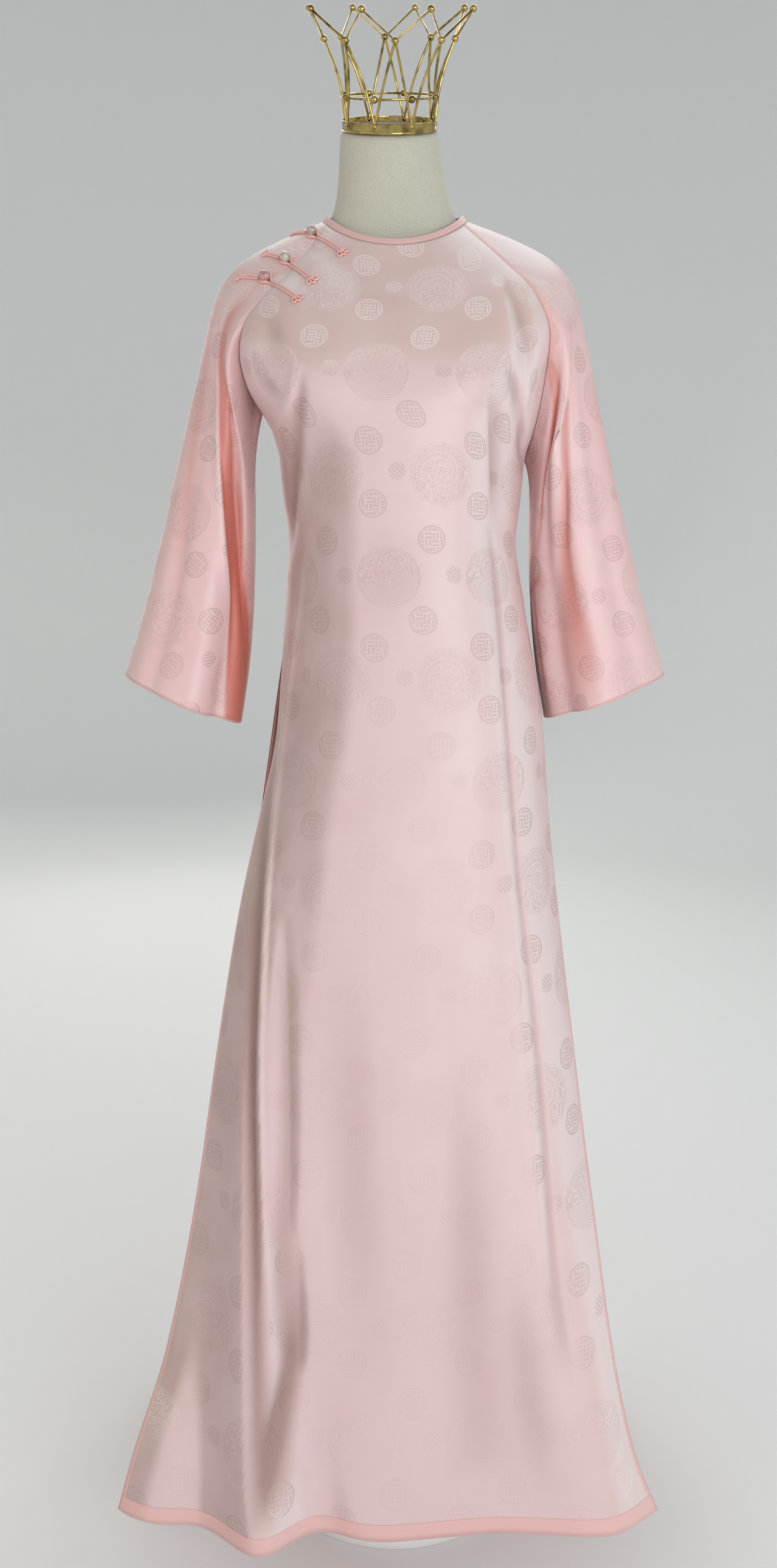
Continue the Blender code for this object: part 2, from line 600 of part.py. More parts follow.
def build_panel(name, grid, normal, slots):
    """A panel from its grid, with its turned-up hem and its two slit turnings behind it."""
    slit = SKIRT_ROWS + 1
    grid = grid.copy()
    set_back(grid, slit - 1, len(grid))
    panel = wall(name + "_panel", grid, grid - normal * CLOTH, slots["satin"])
    behind = grid - normal * (CLOTH + GAP)
    far = behind - normal * TURNING
    wall(name + "_hem", behind[:2, 1:-1], far[:2, 1:-1], slots["band"])
    for side, edge, beside in (("right", 0, 1), ("left", -1, -2)):
        sheets = []
        for sheet in (behind[:slit], far[:slit]):
            inner = sheet[:, beside] + (sheet[:, edge] - sheet[:, beside]) * CORNER_GAP / SLIT_TURNED
            columns = [sheet[:, edge], inner]
            sheets.append(np.stack(columns if edge == 0 else columns[::-1], axis=1))
        wall(f"slit_edge_{name}_{side}", *sheets, slots["band"])
    return panel


def sleeve_ring(front, back, side):
    """The closed loop of one armhole: neck, front seam down to the underarm, back seam up again."""
    first = SKIRT_ROWS + WAIST_ROWS
    column = 0 if side < 0 else -1
    down = front[first:, column][::-1]
    up = back[first + 1:, column]
    turns = side * np.linspace(RAGLAN_BACK, RAGLAN_FRONT, NECK_COLUMNS + 2)[1:-1]
    over = neck_loop(turns, NECK_BAND_WIDTH)
    middle = NECK_COLUMNS // 2
    return np.concatenate([over[middle:], down, up, over[:middle]])


def build_sleeve(name, grid, normal, slots):
    """A sleeve from its grid, with the turning inside its cuff."""
    grid = grid.copy()
    step = grid[1] - grid[0]
    grid[0] += step / np.linalg.norm(step, axis=1, keepdims=True) * GAP * 0.8
    sleeve = wall(name, grid, grid - normal * CLOTH, slots["satin"], around=True)
    behind = grid - normal * (CLOTH + GAP)
    far = behind - normal * TURNING
    wall(name.replace("sleeve", "cuff"), behind[-2:], far[-2:], slots["band"], around=True)
    return sleeve


def build_neck_band(low, normal, slots):
    """The narrow facing round the neck, above the pieces' own top points."""
    depth = np.where(low[:, 1] < NECK_CENTRE, NECK_FRONT, NECK_BACK) + NECK_BAND_WIDTH * BAND_FORWARD
    across = low[:, 0] / (NECK_SIDE + NECK_BAND_WIDTH * BAND_SIDEWAYS)
    high = neck_loop(np.degrees(np.arctan2(across, (NECK_CENTRE - low[:, 1]) / depth)))
    step = high - low
    step /= np.linalg.norm(step, axis=1, keepdims=True)
    outer = np.stack([low + step * GAP * 1.5, high]) + normal * BAND_LIFT
    inner = outer - np.stack([normal, normal]) * (CLOTH + 2 * BAND_LIFT)
    return wall("neck_band", outer, inner, slots["band"], around=True)


def neck_row(front, back, right, left):
    """The top points round the neck, in order, of four arrays shaped like the pieces' grids."""
    middle = NECK_COLUMNS // 2
    over_right = np.concatenate([right[0, -middle:], right[0, :middle + 1]])
    over_left = np.concatenate([left[0, -middle:], left[0, :middle + 1]])
    return np.concatenate([front[-1], over_left[::-1], back[-1][::-1], over_right])


# ---------------------------------------------------------------- frogs


def lobed_end(reach, sign):
    """Three lobes of cord round the end of a frog, in its own plane: (along, across) points."""
    turns = np.radians(np.linspace(FAN_HALF_TURN, -FAN_HALF_TURN, 23))
    radius = FAN_RADIUS + FAN_LOBE * np.cos(FAN_LOBES * turns)
    along = sign * (reach - FAN_RADIUS - FAN_LOBE + radius * np.cos(turns))
    return np.stack([along, radius * np.sin(turns)], axis=1)


def frog_paths(knot_reach, loop_reach):
    """The two cords of a frog in its own plane: the knot half's open path and the loop half's ring."""
    strand = CORD_RADIUS + GAP
    start = -(BEAD_RADIUS + 0.0045)
    fan = 2 * (FAN_RADIUS + FAN_LOBE) - 0.0005
    bar = np.linspace(start, fan - knot_reach, 4)
    knot = np.concatenate([
        np.stack([bar, np.full(4, strand)], axis=1),
        lobed_end(knot_reach, -1),
        np.stack([bar[::-1], np.full(4, -strand)], axis=1),
    ])
    bar = np.linspace(BEAD_RADIUS + 0.0035, loop_reach - fan, 9)
    round_bead = np.radians(np.linspace(-35, -325, 12))
    radius = BEAD_RADIUS + CORD_RADIUS / 2
    eye = np.stack([radius * np.cos(round_bead), radius * np.sin(round_bead)], axis=1)
    loop = np.concatenate([
        np.stack([bar, np.full(9, strand)], axis=1),
        lobed_end(loop_reach, 1),
        np.stack([bar[::-1], np.full(9, -strand)], axis=1),
        eye,
    ])
    return knot, loop


def build_frogs(cloth, slots):
    """Three frogs laid on the cloth under them, each a knot half, a loop half and a bead."""
    for number, row in enumerate(FROGS, start=1):
        x, height, knot_slant, knot_reach, loop_slant, loop_reach = row
        knot, loop = frog_paths(knot_reach, loop_reach)
        hit, normal = cloth.ray_cast(Vector((x, -1, height)), Vector((0, 1, 0)))[:2]
        normal = (normal + Vector((0, -0.4, 0.1))).normalized()
        for part, path, closed, lean in (
            ("knot", knot, False, math.radians(knot_slant)),
            ("loop", loop, True, math.radians(loop_slant)),
        ):
            forward = (normal.z * math.sin(lean) - normal.x * math.cos(lean)) / normal.y
            along = Vector((math.cos(lean), forward, -math.sin(lean))).normalized()
            across = normal.cross(along)
            spots = []
            for a, b in path:
                flat = hit + along * float(a) + across * float(b)
                spot, face = cloth.ray_cast(flat + normal * 0.03, -normal, 0.05)[:2]
                if spot is None:
                    spot, face = cloth.find_nearest(flat + normal * 0.01)[:2]
                spots.append(spot + face.lerp(normal, 0.5).normalized() * (CORD_RADIUS + FROG_LIFT))
            rings = tube_rings(spots, CORD_RADIUS, FROG_CORD_SIDES, closed, normal)
            vertices, faces = hoop(rings) if closed else stack(rings)
            add_object(f"frog_{number}_{part}", vertices, faces, slots["cord"], 80)
        middle = hit + normal * (BEAD_RADIUS + FROG_LIFT)
        add_ball(f"frog_{number}_bead", middle, BEAD_RADIUS, 8, 6, slots["bead"])


def add_ball(name, middle, radius, around, up, slot):
    """A ball of rings with a point at each pole."""
    work = bmesh.new()
    bmesh.ops.create_uvsphere(work, u_segments=around, v_segments=up, radius=radius)
    bmesh.ops.translate(work, verts=work.verts, vec=middle)
    vertices = [tuple(v.co) for v in work.verts]
    faces = [tuple(v.index for v in f.verts) for f in work.faces]
    work.free()
    return add_object(name, vertices, faces, slot, 80)


# ---------------------------------------------------------------- the dress form and its stand


def build_form(slots):
    """A smooth limbless torso with a neck, from rings of squared ovals."""
    heights = np.array([row[0] for row in FORM_RINGS])
    turns = 2 * math.pi * np.arange(FORM_SIDES) / FORM_SIDES
    rings = []
    for height, half, front, back, square in FORM_RINGS:
        power = 2.0 / square
        sine, cosine = np.sin(turns), np.cos(turns)
        x = half * np.sign(sine) * np.abs(sine) ** power
        depth = np.where(cosine > 0, front, back)
        y = -depth * np.sign(cosine) * np.abs(cosine) ** power
        lean = float(ease((height - 1.36) / (heights[-1] - 1.36)))
        for cup_x, cup_height, wide, tall, swell in CUPS:
            off = ((x - cup_x) / wide) ** 2 + ((height - cup_height) / tall) ** 2
            y -= np.where(cosine > 0, swell * np.exp(-off), 0.0)
        z = height + lean * math.tan(math.radians(CAP_TILT)) * y
        rings.append(np.stack([x + NECK_LEAN[0] * lean, y + NECK_LEAN[1] * lean, z], axis=1))
    vertices, faces = stack(np.array(rings))
    return add_object("dress_form", vertices, faces, slots["linen"], 50)


def cap_frame():
    """Where the cap sits: its middle, leaning forward."""
    place = Matrix.Translation((*NECK_LEAN, FORM_RINGS[-1][0] + CAP_ABOVE))
    return place @ Matrix.Rotation(math.radians(CAP_TILT), 4, "X")


def ring_at(radius, height, turn):
    """A point round the cap's own axis."""
    return Vector((radius * math.sin(turn), -radius * math.cos(turn), height))


def joined(pieces):
    """One body made of several by Boolean unions."""
    whole = pieces[0]
    for piece in pieces[1:]:
        union = whole.modifiers.new("union", "BOOLEAN")
        union.operation = "UNION"
        union.solver = "EXACT"
        union.object = piece
        depsgraph = bpy.context.evaluated_depsgraph_get()
        mesh = bpy.data.meshes.new_from_object(whole.evaluated_get(depsgraph))
        whole.modifiers.clear()
        whole.data = mesh
        bpy.data.objects.remove(piece)
    return whole


def build_crown(slots):
    """The neck cap with its gold wire crown: a ring, outward posts and a zigzag of eight points."""
    gold = slots["gold"]
    step = 2 * math.pi / CROWN_POINTS
    profile = [
        (CAP_RADIUS - CAP_LIP, 0.0),
        (CAP_RADIUS, CAP_LIP / 2),
        (CAP_RADIUS, CAP_HEIGHT),
        (CAP_RADIUS - CAP_LIP, CAP_HEIGHT),
        (CAP_RADIUS - CAP_LIP, CAP_HEIGHT - CAP_DISH),
    ]
    turns = [2 * math.pi * k / 24 for k in range(24)]
    rings = np.array([[tuple(ring_at(r, h, a)) for a in turns] for r, h in profile])
    pieces = [add_object("neck_cap", *stack(rings), gold)]

    def wire(points, closed=False, up=Vector((0, 0, 1))):
        rings = tube_rings(points, CROWN_WIRE, 4, closed, up)
        vertices, faces = hoop(rings) if closed else stack(rings)
        return add_object("wire", vertices, faces, gold)

    def crown_at(place, turn):
        return ring_at(place[0], CAP_HEIGHT + place[1], turn)

    circle = [crown_at(CROWN_RING, (k / 2 + CROWN_TURN) * step) for k in range(2 * CROWN_POINTS)]
    pieces.append(wire(circle, True))
    zigzag = []
    for k in range(CROWN_POINTS):
        turn = (k + 0.5 + CROWN_TURN) * step
        foot = crown_at(CROWN_FOOT, turn)
        waist = crown_at(CROWN_RING, turn)
        for side in (-1, 1):
            knee = crown_at(CROWN_KNEE, turn + side * CROWN_KNEE_TURN * step)
            valley = crown_at(CROWN_VALLEY, turn + side * 0.5 * step)
            start = foot.lerp(knee, 0.01 + 0.01 * side)
            sideways = Vector((math.cos(turn), math.sin(turn), 0))
            pieces.append(wire([start, knee, valley.lerp(knee, 0.02 + 0.01 * side)], up=sideways))
        peak = crown_at(CROWN_PEAK, turn)
        zigzag += [peak, valley]
        for number, middle in enumerate((waist, valley, peak)):
            ball = add_ball("ball", Vector(), CROWN_BALL, 6, 3, gold)
            turned = Matrix.Rotation(0.37 + k + number, 4, (3, 1, 2))
            ball.data.transform(Matrix.Translation(middle) @ turned)
            pieces.append(ball)
    pieces.append(wire(zigzag, True))
    crown = joined(pieces)
    crown.data.transform(cap_frame())
    crown.data.update()
    return crown


def build_stand(slots):
    """A round base plate and the pole up to the torso, turned about the axis."""
    form_bottom = FORM_RINGS[0][0]
    bevel = 0.003

    def turned(profile, count):
        spin = 2 * math.pi * np.arange(count) / count
        return np.array([
            [(r * math.cos(a), r * math.sin(a), z) for a in spin] for r, z in profile
        ])

    plate = turned([
        (PLATE_RADIUS, 0.0),
        (PLATE_RADIUS, PLATE_HEIGHT - bevel),
        (PLATE_RADIUS - bevel, PLATE_HEIGHT),
    ], 40)
    add_object("base_plate", *stack(plate), slots["steel"])
    pole = turned([
        (POLE_RADIUS * 2.2, PLATE_HEIGHT + GAP),
        (POLE_RADIUS * 2.2, PLATE_HEIGHT + 0.012),
        (POLE_RADIUS, PLATE_HEIGHT + 0.020),
        (POLE_RADIUS, form_bottom - GAP),
    ], 16)
    add_object("pole", *stack(pole), slots["steel"])


def build():
    """Clears the scene and makes every piece."""
    for old in list(bpy.data.objects):
        bpy.data.objects.remove(old)
    slots = {
        "satin": material("rose_damask_satin", (0.72, 0.42, 0.42), 0.35),
        "band": material("doubled_rose_satin", (0.74, 0.30, 0.33), 0.4),
        "cord": material("satin_cord", (0.78, 0.45, 0.45), 0.35),
        "bead": material("rose_quartz", (0.80, 0.52, 0.50), 0.15),
        "linen": material("cream_form_cloth", (0.78, 0.74, 0.66), 0.85),
        "gold": material("polished_gold_wire", (0.83, 0.60, 0.25), 0.22, 1.0),
        "steel": material("white_coated_steel", (0.80, 0.80, 0.79), 0.35),
    }
    stations = stations_of_rows()
    front_seams = (
        raglan(RAGLAN_FRONT_RIGHT, UNDERARM_RIGHT, -RAGLAN_FRONT),
        raglan(RAGLAN_FRONT_LEFT, UNDERARM_LEFT, RAGLAN_FRONT),
    )
    back_seams = (
        raglan(RAGLAN_BACK_RIGHT, UNDERARM_RIGHT, -RAGLAN_BACK),
        raglan(RAGLAN_BACK_LEFT, UNDERARM_LEFT, RAGLAN_BACK),
    )
    front = panel_points(FRONT_EDGES, front_seams, FRONT_MIDDLE, FRONT_COLUMNS, FRONT_FOLDS, stations, -1)
    back = panel_points(BACK_EDGES, back_seams, BACK_MIDDLE, BACK_COLUMNS, BACK_FOLDS, stations, 1)
    right = sleeve_points(SLEEVE_RIGHT, sleeve_ring(front, back, -1), SLEEVE_ROWS)
    left = sleeve_points(SLEEVE_LEFT, sleeve_ring(front, back, 1), SLEEVE_ROWS)
    grids = (front, back, right, left)
    normals = (outward(front, False), -outward(back, False), -outward(right, True), outward(left, True))
    share_normals(list(zip(grids[:2], normals[:2])), list(zip(grids[2:], normals[2:])))
    panel = build_panel("front", front, normals[0], slots)
    build_panel("back", back, normals[1], slots)
    sleeve = build_sleeve("sleeve_right", right, normals[2], slots)
    build_sleeve("sleeve_left", left, normals[3], slots)
    build_neck_band(neck_row(*grids), neck_row(*normals), slots)
    build_form(slots)
    build_crown(slots)
    build_stand(slots)
    work = bmesh.new()
    work.from_mesh(panel.data)
    work.from_mesh(sleeve.data)
    build_frogs(BVHTree.FromBMesh(work), slots)
    work.free()


build()
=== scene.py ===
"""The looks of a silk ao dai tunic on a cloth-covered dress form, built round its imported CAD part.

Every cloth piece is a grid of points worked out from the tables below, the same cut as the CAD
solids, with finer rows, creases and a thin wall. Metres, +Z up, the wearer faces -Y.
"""

import math

import bmesh
import bpy
import numpy as np
from mathutils import Matrix, Vector
from mathutils.bvhtree import BVHTree


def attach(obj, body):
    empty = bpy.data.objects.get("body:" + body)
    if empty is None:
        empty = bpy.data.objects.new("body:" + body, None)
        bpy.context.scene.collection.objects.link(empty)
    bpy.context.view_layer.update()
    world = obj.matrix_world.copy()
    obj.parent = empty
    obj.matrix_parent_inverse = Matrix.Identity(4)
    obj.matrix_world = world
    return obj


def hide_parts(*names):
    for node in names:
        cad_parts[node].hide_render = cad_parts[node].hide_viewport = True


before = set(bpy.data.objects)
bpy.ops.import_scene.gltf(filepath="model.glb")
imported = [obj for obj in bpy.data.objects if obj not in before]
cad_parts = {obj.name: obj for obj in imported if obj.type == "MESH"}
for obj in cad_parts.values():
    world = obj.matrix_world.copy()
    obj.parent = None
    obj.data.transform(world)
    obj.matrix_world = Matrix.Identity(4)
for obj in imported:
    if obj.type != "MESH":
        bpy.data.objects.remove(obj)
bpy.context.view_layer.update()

MM = 0.001


def in_metres(rows, plain=()):
    """A table of millimetres in metres, but for its plain columns, which stay as written."""
    return tuple(tuple(v if k in plain else v / 1000 for k, v in enumerate(row)) for row in rows)


def creases_in_metres(rows, plain=()):
    """Creases likewise: each is a lean, then its rows."""
    return tuple((lean, *in_metres(path, plain)) for lean, *path in rows)


# ---- driving dimensions
# Lengths are metres, and millimetres inside in_metres and creases_in_metres
GAP = 0.0003              # between neighbouring pieces
UNDERARM_LEFT = (0.149, 0.004, 1.143)      # the wearer's left
UNDERARM_RIGHT = (-0.157, 0.004, 1.204)    # the wearer's right, pulled up by the closing
HEM_TURNED = 0.015        # height of the turned-up hem
SLIT_TURNED = 0.006       # width of the turning down each slit

NECK_SIDE = 0.0777        # half width of the neck opening
NECK_FRONT = 0.073        # depth of its front from the side
NECK_BACK = 0.058
NECK_SIDE_HEIGHT = 1.424
NECK_FRONT_HEIGHT = 1.379
NECK_BACK_HEIGHT = 1.436
NECK_BAND_WIDTH = 0.009
NECK_BAND_DROP = 0.0072   # how far the band falls over its width
BAND_SIDEWAYS = 0.60      # share of the band's width that runs outward at the sides
BAND_FORWARD = 0.45       # and at the front and back
NECK_DIP = 1.4            # how sharply the opening falls toward its front
NECK_CENTRE = 0.004       # y of the opening's sides
RAGLAN_FRONT = 68.0       # degrees round the neck from the front, where the raglan seams start
RAGLAN_BACK = 128.0

SKIRT_ROWS = 150          # stations from the hem to the top of the slit
WAIST_ROWS = 20           # from there to the underarm
YOKE_ROWS = 70            # from the underarm to the neck
FRONT_COLUMNS = 181
BACK_COLUMNS = 91
NECK_COLUMNS = 15         # points of a sleeve between its two raglan seams
SLEEVE_ROWS = 110
SEAM_PULL = 0.50          # share of a sleeve's length over which it takes its armhole's form
EDGE_STILL = 0.12         # share of half a row over which folds die away toward a sewn edge
SLIT_FREE = (-0.9, 0.2)   # minus the station below which a slit frees its edges, and over how many
SLIT_FOLDED = 0.35        # share of the folds that a free edge keeps
NECK_STILL = 0.25         # stations over which folds die away under the neck
NECK_PULL = (2.5, 0.5)    # station from which a panel takes the neck's form, and over how much
FOLD_START = 0.3          # share of a sleeve fold's length over which it begins
FOLD_SHALLOW = 0.6        # share of its depth that it has by then
FOLD_FADE = 0.06          # height over which a fold begins
FOLD_GROWTH = 2.4         # power by which a fold deepens toward the hem

# The stations of every panel edge: 0 the hem, 1 the top of the slit, 2 the underarm, 3 the neck.
# Columns: station, wearer's right x, wearer's left x, y at the right edge, y at the left edge, height
FRONT_EDGES = in_metres((
    (0, -280, 264, -182, -183, 70),
    (0.06, -266, 242, -177, -175, 122),
    (0.16, -236, 221, -160, -163, 215),
    (0.32, -207, 203, -133, -135, 371),
    (0.45, -192, 192, -110, -110, 492),
    (0.6, -171, 178, -80, -80, 640),
    (0.72, -148, 169, -60, -58, 755),
    (0.82, -131, 165, -41, -40, 850),
    (0.92, -125, 149, -18, -18, 960),
    (1, -120.5, 136, 0, 0, 1045),
), (0,))
BACK_EDGES = in_metres((
    (0, -262, 250, 168, 168, 70),
    (0.16, -232, 217, 135, 135, 215),
    (0.32, -214, 198, 104, 104, 371),
    (0.6, -173, 172, 62, 60, 640),
    (0.82, -141, 160, 30, 30, 850),
    (0.92, -125.5, 152, 14, 12, 960),
    (1, -120.5, 136, 0, 0, 1045),
), (0,))
# The side seams from the top of the slit to the underarm. Columns: share of the way, x right, x left,
# y, height right, height left
SIDE_SEAMS = in_metres((
    (0, -120.5, 136, 0, 1045, 1045),
    (0.3, -124.5, 140, 1, 1078, 1072),
    (0.6, -130, 144, 2, 1118, 1100),
    (0.85, -133, 146.5, 3, 1165, 1124),
    (1, -157, 149, 4, 1204, 1143),
), (0,))
# The raglan seams from the underarm to the neck. Columns: share of the way, x, y and height
RAGLAN_FRONT_RIGHT = in_metres((
    (0.15, -165.5, -44, 1222), (0.3, -171, -69, 1252), (0.45, -165, -78, 1284), (0.6, -147, -74, 1311),
    (0.8, -113, -56, 1350),
), (0,))
RAGLAN_FRONT_LEFT = in_metres((
    (0.15, 157, -40, 1178), (0.3, 165.5, -67, 1233), (0.45, 169, -77, 1275), (0.6, 154, -74, 1317),
    (0.8, 120, -56, 1358),
), (0,))
RAGLAN_BACK_RIGHT = in_metres((
    (0.15, -164, 52, 1226), (0.3, -165, 83, 1258), (0.45, -158, 96, 1292), (0.6, -142, 96, 1325),
    (0.8, -106, 80, 1380),
), (0,))
RAGLAN_BACK_LEFT = in_metres((
    (0.15, 157, 48, 1184), (0.3, 163, 80, 1236), (0.45, 160, 96, 1283), (0.6, 144, 97, 1325),
    (0.8, 107, 80, 1380),
), (0,))
# The middle of each row. Columns: station, y, height, degrees turned at the edge, squareness
FRONT_MIDDLE = in_metres((
    (0, -220, 70, 62, 3.6),
    (0.2, -203, 252, 62, 3.4),
    (0.4, -186, 446, 64, 3),
    (0.6, -170, 640, 68, 2.8),
    (0.8, -158, 831, 76, 2.6),
    (0.92, -153, 960, 84, 2.4),
    (1, -151, 1045, 90, 2.3),
    (1.5, -156, 1105, 90, 2.3),
    (2, -160, 1178, 90, 2.2),
    (2.3, -153, 1232, 84, 2.2),
    (2.55, -129, 1286, 78, 2.2),
    (2.8, -100, 1336, 72, 2.1),
    (3, -79, 1374.5, 68, 2),
), (0, 3, 4))
BACK_MIDDLE = in_metres((
    (0, 196, 70, 62, 3.4),
    (0.2, 180, 252, 62, 3.2),
    (0.4, 166, 446, 64, 3),
    (0.6, 152, 640, 70, 2.8),
    (0.8, 137, 831, 78, 2.6),
    (0.92, 118, 960, 84, 2.4),
    (1, 95, 1045, 90, 2.3),
    (1.5, 103, 1110, 90, 2.3),
    (2, 118, 1182, 90, 2.2),
    (2.3, 127, 1250, 86, 2.2),
    (2.55, 122, 1310, 80, 2.2),
    (2.8, 98, 1376, 66, 2.1),
    (3, 64, 1431.5, 52, 2),
), (0, 3, 4))
# Folds of the front. Columns: top height, bottom height, x at the top, middle and bottom,
# half width at the top and bottom, height at the top and bottom (a trough is below zero)
FRONT_FOLDS = in_metres((
    (1000, 50, -116, -146, -130, 15, 36, 2, 28.5),
    (900, 50, -132, -176, -200, 14, 30, -2, -9),
    (760, 50, -88, -108, -70, 16, 32, -1.5, -11),
    (1060, 50, 106, 138, 188, 11, 30, -3, 6),
    (860, 50, 140, 170, 222, 14, 26, 2, 9),
    (600, 50, 62, 78, 100, 30, 40, 1, -5),
    (540, 50, 10, 0, -20, 40, 50, 1, 7),
    (1200, 1060, -100, -106, -108, 8, 10, -2.2, -3),
    (1190, 1050, -84, -90, -96, 8, 10, 1.6, 2.4),
    (1220, 1060, 108, 112, 116, 9, 10, -2.4, -2.6),
    (1330, 1220, 122, 130, 140, 12, 12, -3, -2.4),
    (1330, 1230, -126, -132, -140, 12, 12, -2.4, -2),
))
BACK_FOLDS = in_metres((
    (960, 50, -108, -130, -150, 14, 30, 2, 11),
    (820, 50, -62, -80, -86, 18, 34, -2, -8),
    (900, 50, 4, -6, -20, 18, 34, 2, 8),
    (740, 50, 62, 66, 52, 18, 34, -2, -7),
    (960, 50, 110, 130, 142, 14, 30, 2, 11),
    (1150, 1050, -80, -76, -70, 10, 10, -2, -3),
    (1150, 1050, 84, 80, 76, 10, 10, -2, -3),
))
# Bust: x, height, half width, half height, depth
CUPS = in_metres((
    (-88, 1208, 46, 44, 11),
    (90, 1206, 46, 44, 11),
))

# The sleeves. Columns: share of the way down, the outer line's x, y and height, the inner line's x, y
# and height, how far the front and the back swell from the line between them
SLEEVE_RIGHT = in_metres((
    (0, -85, 14, 1418, -157, 4, 1204, 78, 86),
    (0.12, -132, 14, 1397, -160, 4, 1184, 80, 86),
    (0.25, -183, 14, 1367, -161, 3, 1158, 74, 78),
    (0.36, -206, 12, 1334, -161, 2, 1130, 66, 70),
    (0.48, -218, 10, 1284, -160.5, 0, 1094, 60, 63),
    (0.62, -234, 6, 1206, -160, -3, 1042, 56, 57),
    (0.76, -253, 1, 1114, -161, -7, 982, 56, 55),
    (0.89, -281, -4, 991, -166, -10, 908, 60, 58),
    (1, -307, -8, 898, -175, -12, 842, 66, 62),
), (0,))
SLEEVE_LEFT = in_metres((
    (0, 85, 14, 1418, 149, 4, 1143, 78, 86),
    (0.12, 134, 14, 1399, 153, 4, 1126, 80, 86),
    (0.25, 185, 14, 1371, 154.5, 3, 1104, 74, 78),
    (0.36, 208, 12, 1338, 154.5, 2, 1082, 66, 70),
    (0.48, 219, 10, 1288, 154, 0, 1055, 60, 63),
    (0.62, 236, 6, 1206, 154, -3, 1016, 56, 57),
    (0.76, 255, 1, 1112, 155.5, -7, 968, 56, 55),
    (0.89, 280, -4, 994, 160, -10, 912, 60, 58),
    (1, 307, -8, 899, 170, -12, 848, 66, 62),
), (0,))
# Folds of a sleeve. Columns: where it starts and ends down the sleeve, degrees round it at its start
# and end (0 outside, 90 front, 180 inside, 270 back), half width in degrees, depth (in is below zero)
SLEEVE_FOLDS = (
    (0.30, 1.05, 122, 138, 13, -0.0110),
    (0.36, 1.05, 92, 104, 15, 0.0060),
    (0.42, 1.05, 58, 62, 13, -0.0050),
    (0.34, 1.05, 236, 226, 14, -0.0090),
    (0.46, 1.05, 292, 300, 14, 0.0050),
)

# The dress form. Columns: height, half width, front depth, back depth, squareness
FORM_RINGS = in_metres((
    (786, 104, 92, 92, 2.2),
    (793, 116, 105, 105, 2.2),
    (810, 123, 112, 114, 2.2),
    (850, 126, 116, 118, 2.2),
    (900, 122, 113, 112, 2.2),
    (960, 115.5, 110, 98, 2.2),
    (1045, 111, 108, 83, 2.2),
    (1110, 117, 122, 93, 2.2),
    (1160, 121, 136, 103, 2.2),
    (1204, 138, 140, 108, 2.2),
    (1240, 156, 133, 109, 2.1),
    (1280, 176, 115, 104, 2),
    (1312, 185, 96, 94, 2),
    (1336, 179, 78, 84, 2),
    (1358, 156, 62, 74, 2),
    (1378, 118, 54, 64, 2),
    (1396, 86, 50, 54, 2),
    (1418, 71, 48, 47, 2),
    (1450, 62, 46, 47, 2),
    (1500, 57, 47, 50, 2),
    (1513, 56, 47, 50, 2),
    (1516, 53, 44, 47, 2),
), (4,))
LEAN_FROM = 1.36                 # height where the neck begins to lean
NECK_LEAN = (-0.006, -0.012)     # how far the neck's top stands off the torso's axis, x and y

CAP_ABOVE = 0.0006               # of the cap's foot above the neck
CAP_HEIGHT = 0.012
CAP_TILT = 24.0                  # degrees the cap and crown lean forward
# Profiles of the cap's band and of the board inside it. Columns: radius and height
CAP_BAND = in_metres((
    (51.5, 0), (53.3, 0), (54.7, 0.8), (54.7, 2.4), (54.2, 3), (54.2, 11.4), (53.7, 12), (53.5, 11.6),
    (53.3, 1),
))
CAP_BOARD = in_metres(((53.1, 0.4), (53.1, 5.6), (52.5, 6), (20, 6)))
CROWN_POINTS = 8
CROWN_WIRE = 0.0015              # radius of its wires
CROWN_BALL = 0.0042
# Where the crown's wires turn: radius and height above the cap's band
CROWN_FOOT = (0.0535, -0.0032)
CROWN_RING = (0.0537, 0.025)
CROWN_KNEE = (0.0567, 0.043)
CROWN_VALLEY = (0.0730, 0.085)
CROWN_PEAK = (0.0950, 0.116)
CROWN_KNEE_TURN = 0.26           # of a point's share of the circle, from the foot to the knee
CROWN_TURN = 0.10                # of a point's share, that the crown is turned on the cap

# Profiles of the base plate and of the pole with its collar. Columns: radius and height
PLATE_PROFILE = in_metres(((144, 0), (145, 1), (145, 10), (143.8, 12.8), (141, 14), (30, 14)))
POLE_PROFILE = in_metres((
    (26.25, 14.3), (27.5, 15.3), (27.5, 24.3), (25, 26.3), (13.75, 32.3), (12.5, 35.3), (12.5, 785.7),
))

BEAD_RADIUS = 0.0060
# The frogs. Columns: the bead's x and height, then for the knot half and for the loop half how many
# degrees it slants down to the wearer's left and how far it reaches from the bead's middle
FROGS = (
    (-0.0925, 1.3935, 28.0, 0.0355, 45.5, 0.067),
    (-0.1210, 1.3600, 31.5, 0.038, 50.0, 0.067),
    (-0.1425, 1.3370, 18.0, 0.0435, 44.5, 0.073),
)
FROG_LIFT = 0.0007               # of the cords and the bead above the cloth


# ---- looks
ROW_SAMPLES = 401         # points a row is first worked out at
SILK = 0.0007             # thickness of the cloth shown
CREASE_STEPS = 24
CREASE_DEGREE = 0.0012    # metres that a degree round a sleeve counts for beside its creases
CUFF_ROWS = 4             # rows of a sleeve that its turning lies behind
CUFF_SHOWN = 2.0          # mm of doubled cloth that show at a cuff
HEM_SHOWN = 15.0          # and at a panel's hem
# and below the left raglan seam: degrees round the sleeve where it starts and ends, and mm
RAGLAN_SHOWN = (6.0, 122.0, 10.0)
# Crease troughs are painted in a shade colour, fully at DEEP; ridges get a painted highlight by the same
# measure
DEEP = 0.0060             # depth of trough whose colour is fully the shaded pink
# SIDE_SHEEN scales a painted silver highlight and a painted dusky shade on panels turned to the side
SIDE_SHEEN = 0.55         # share of silver or dusk where a panel turns to the side
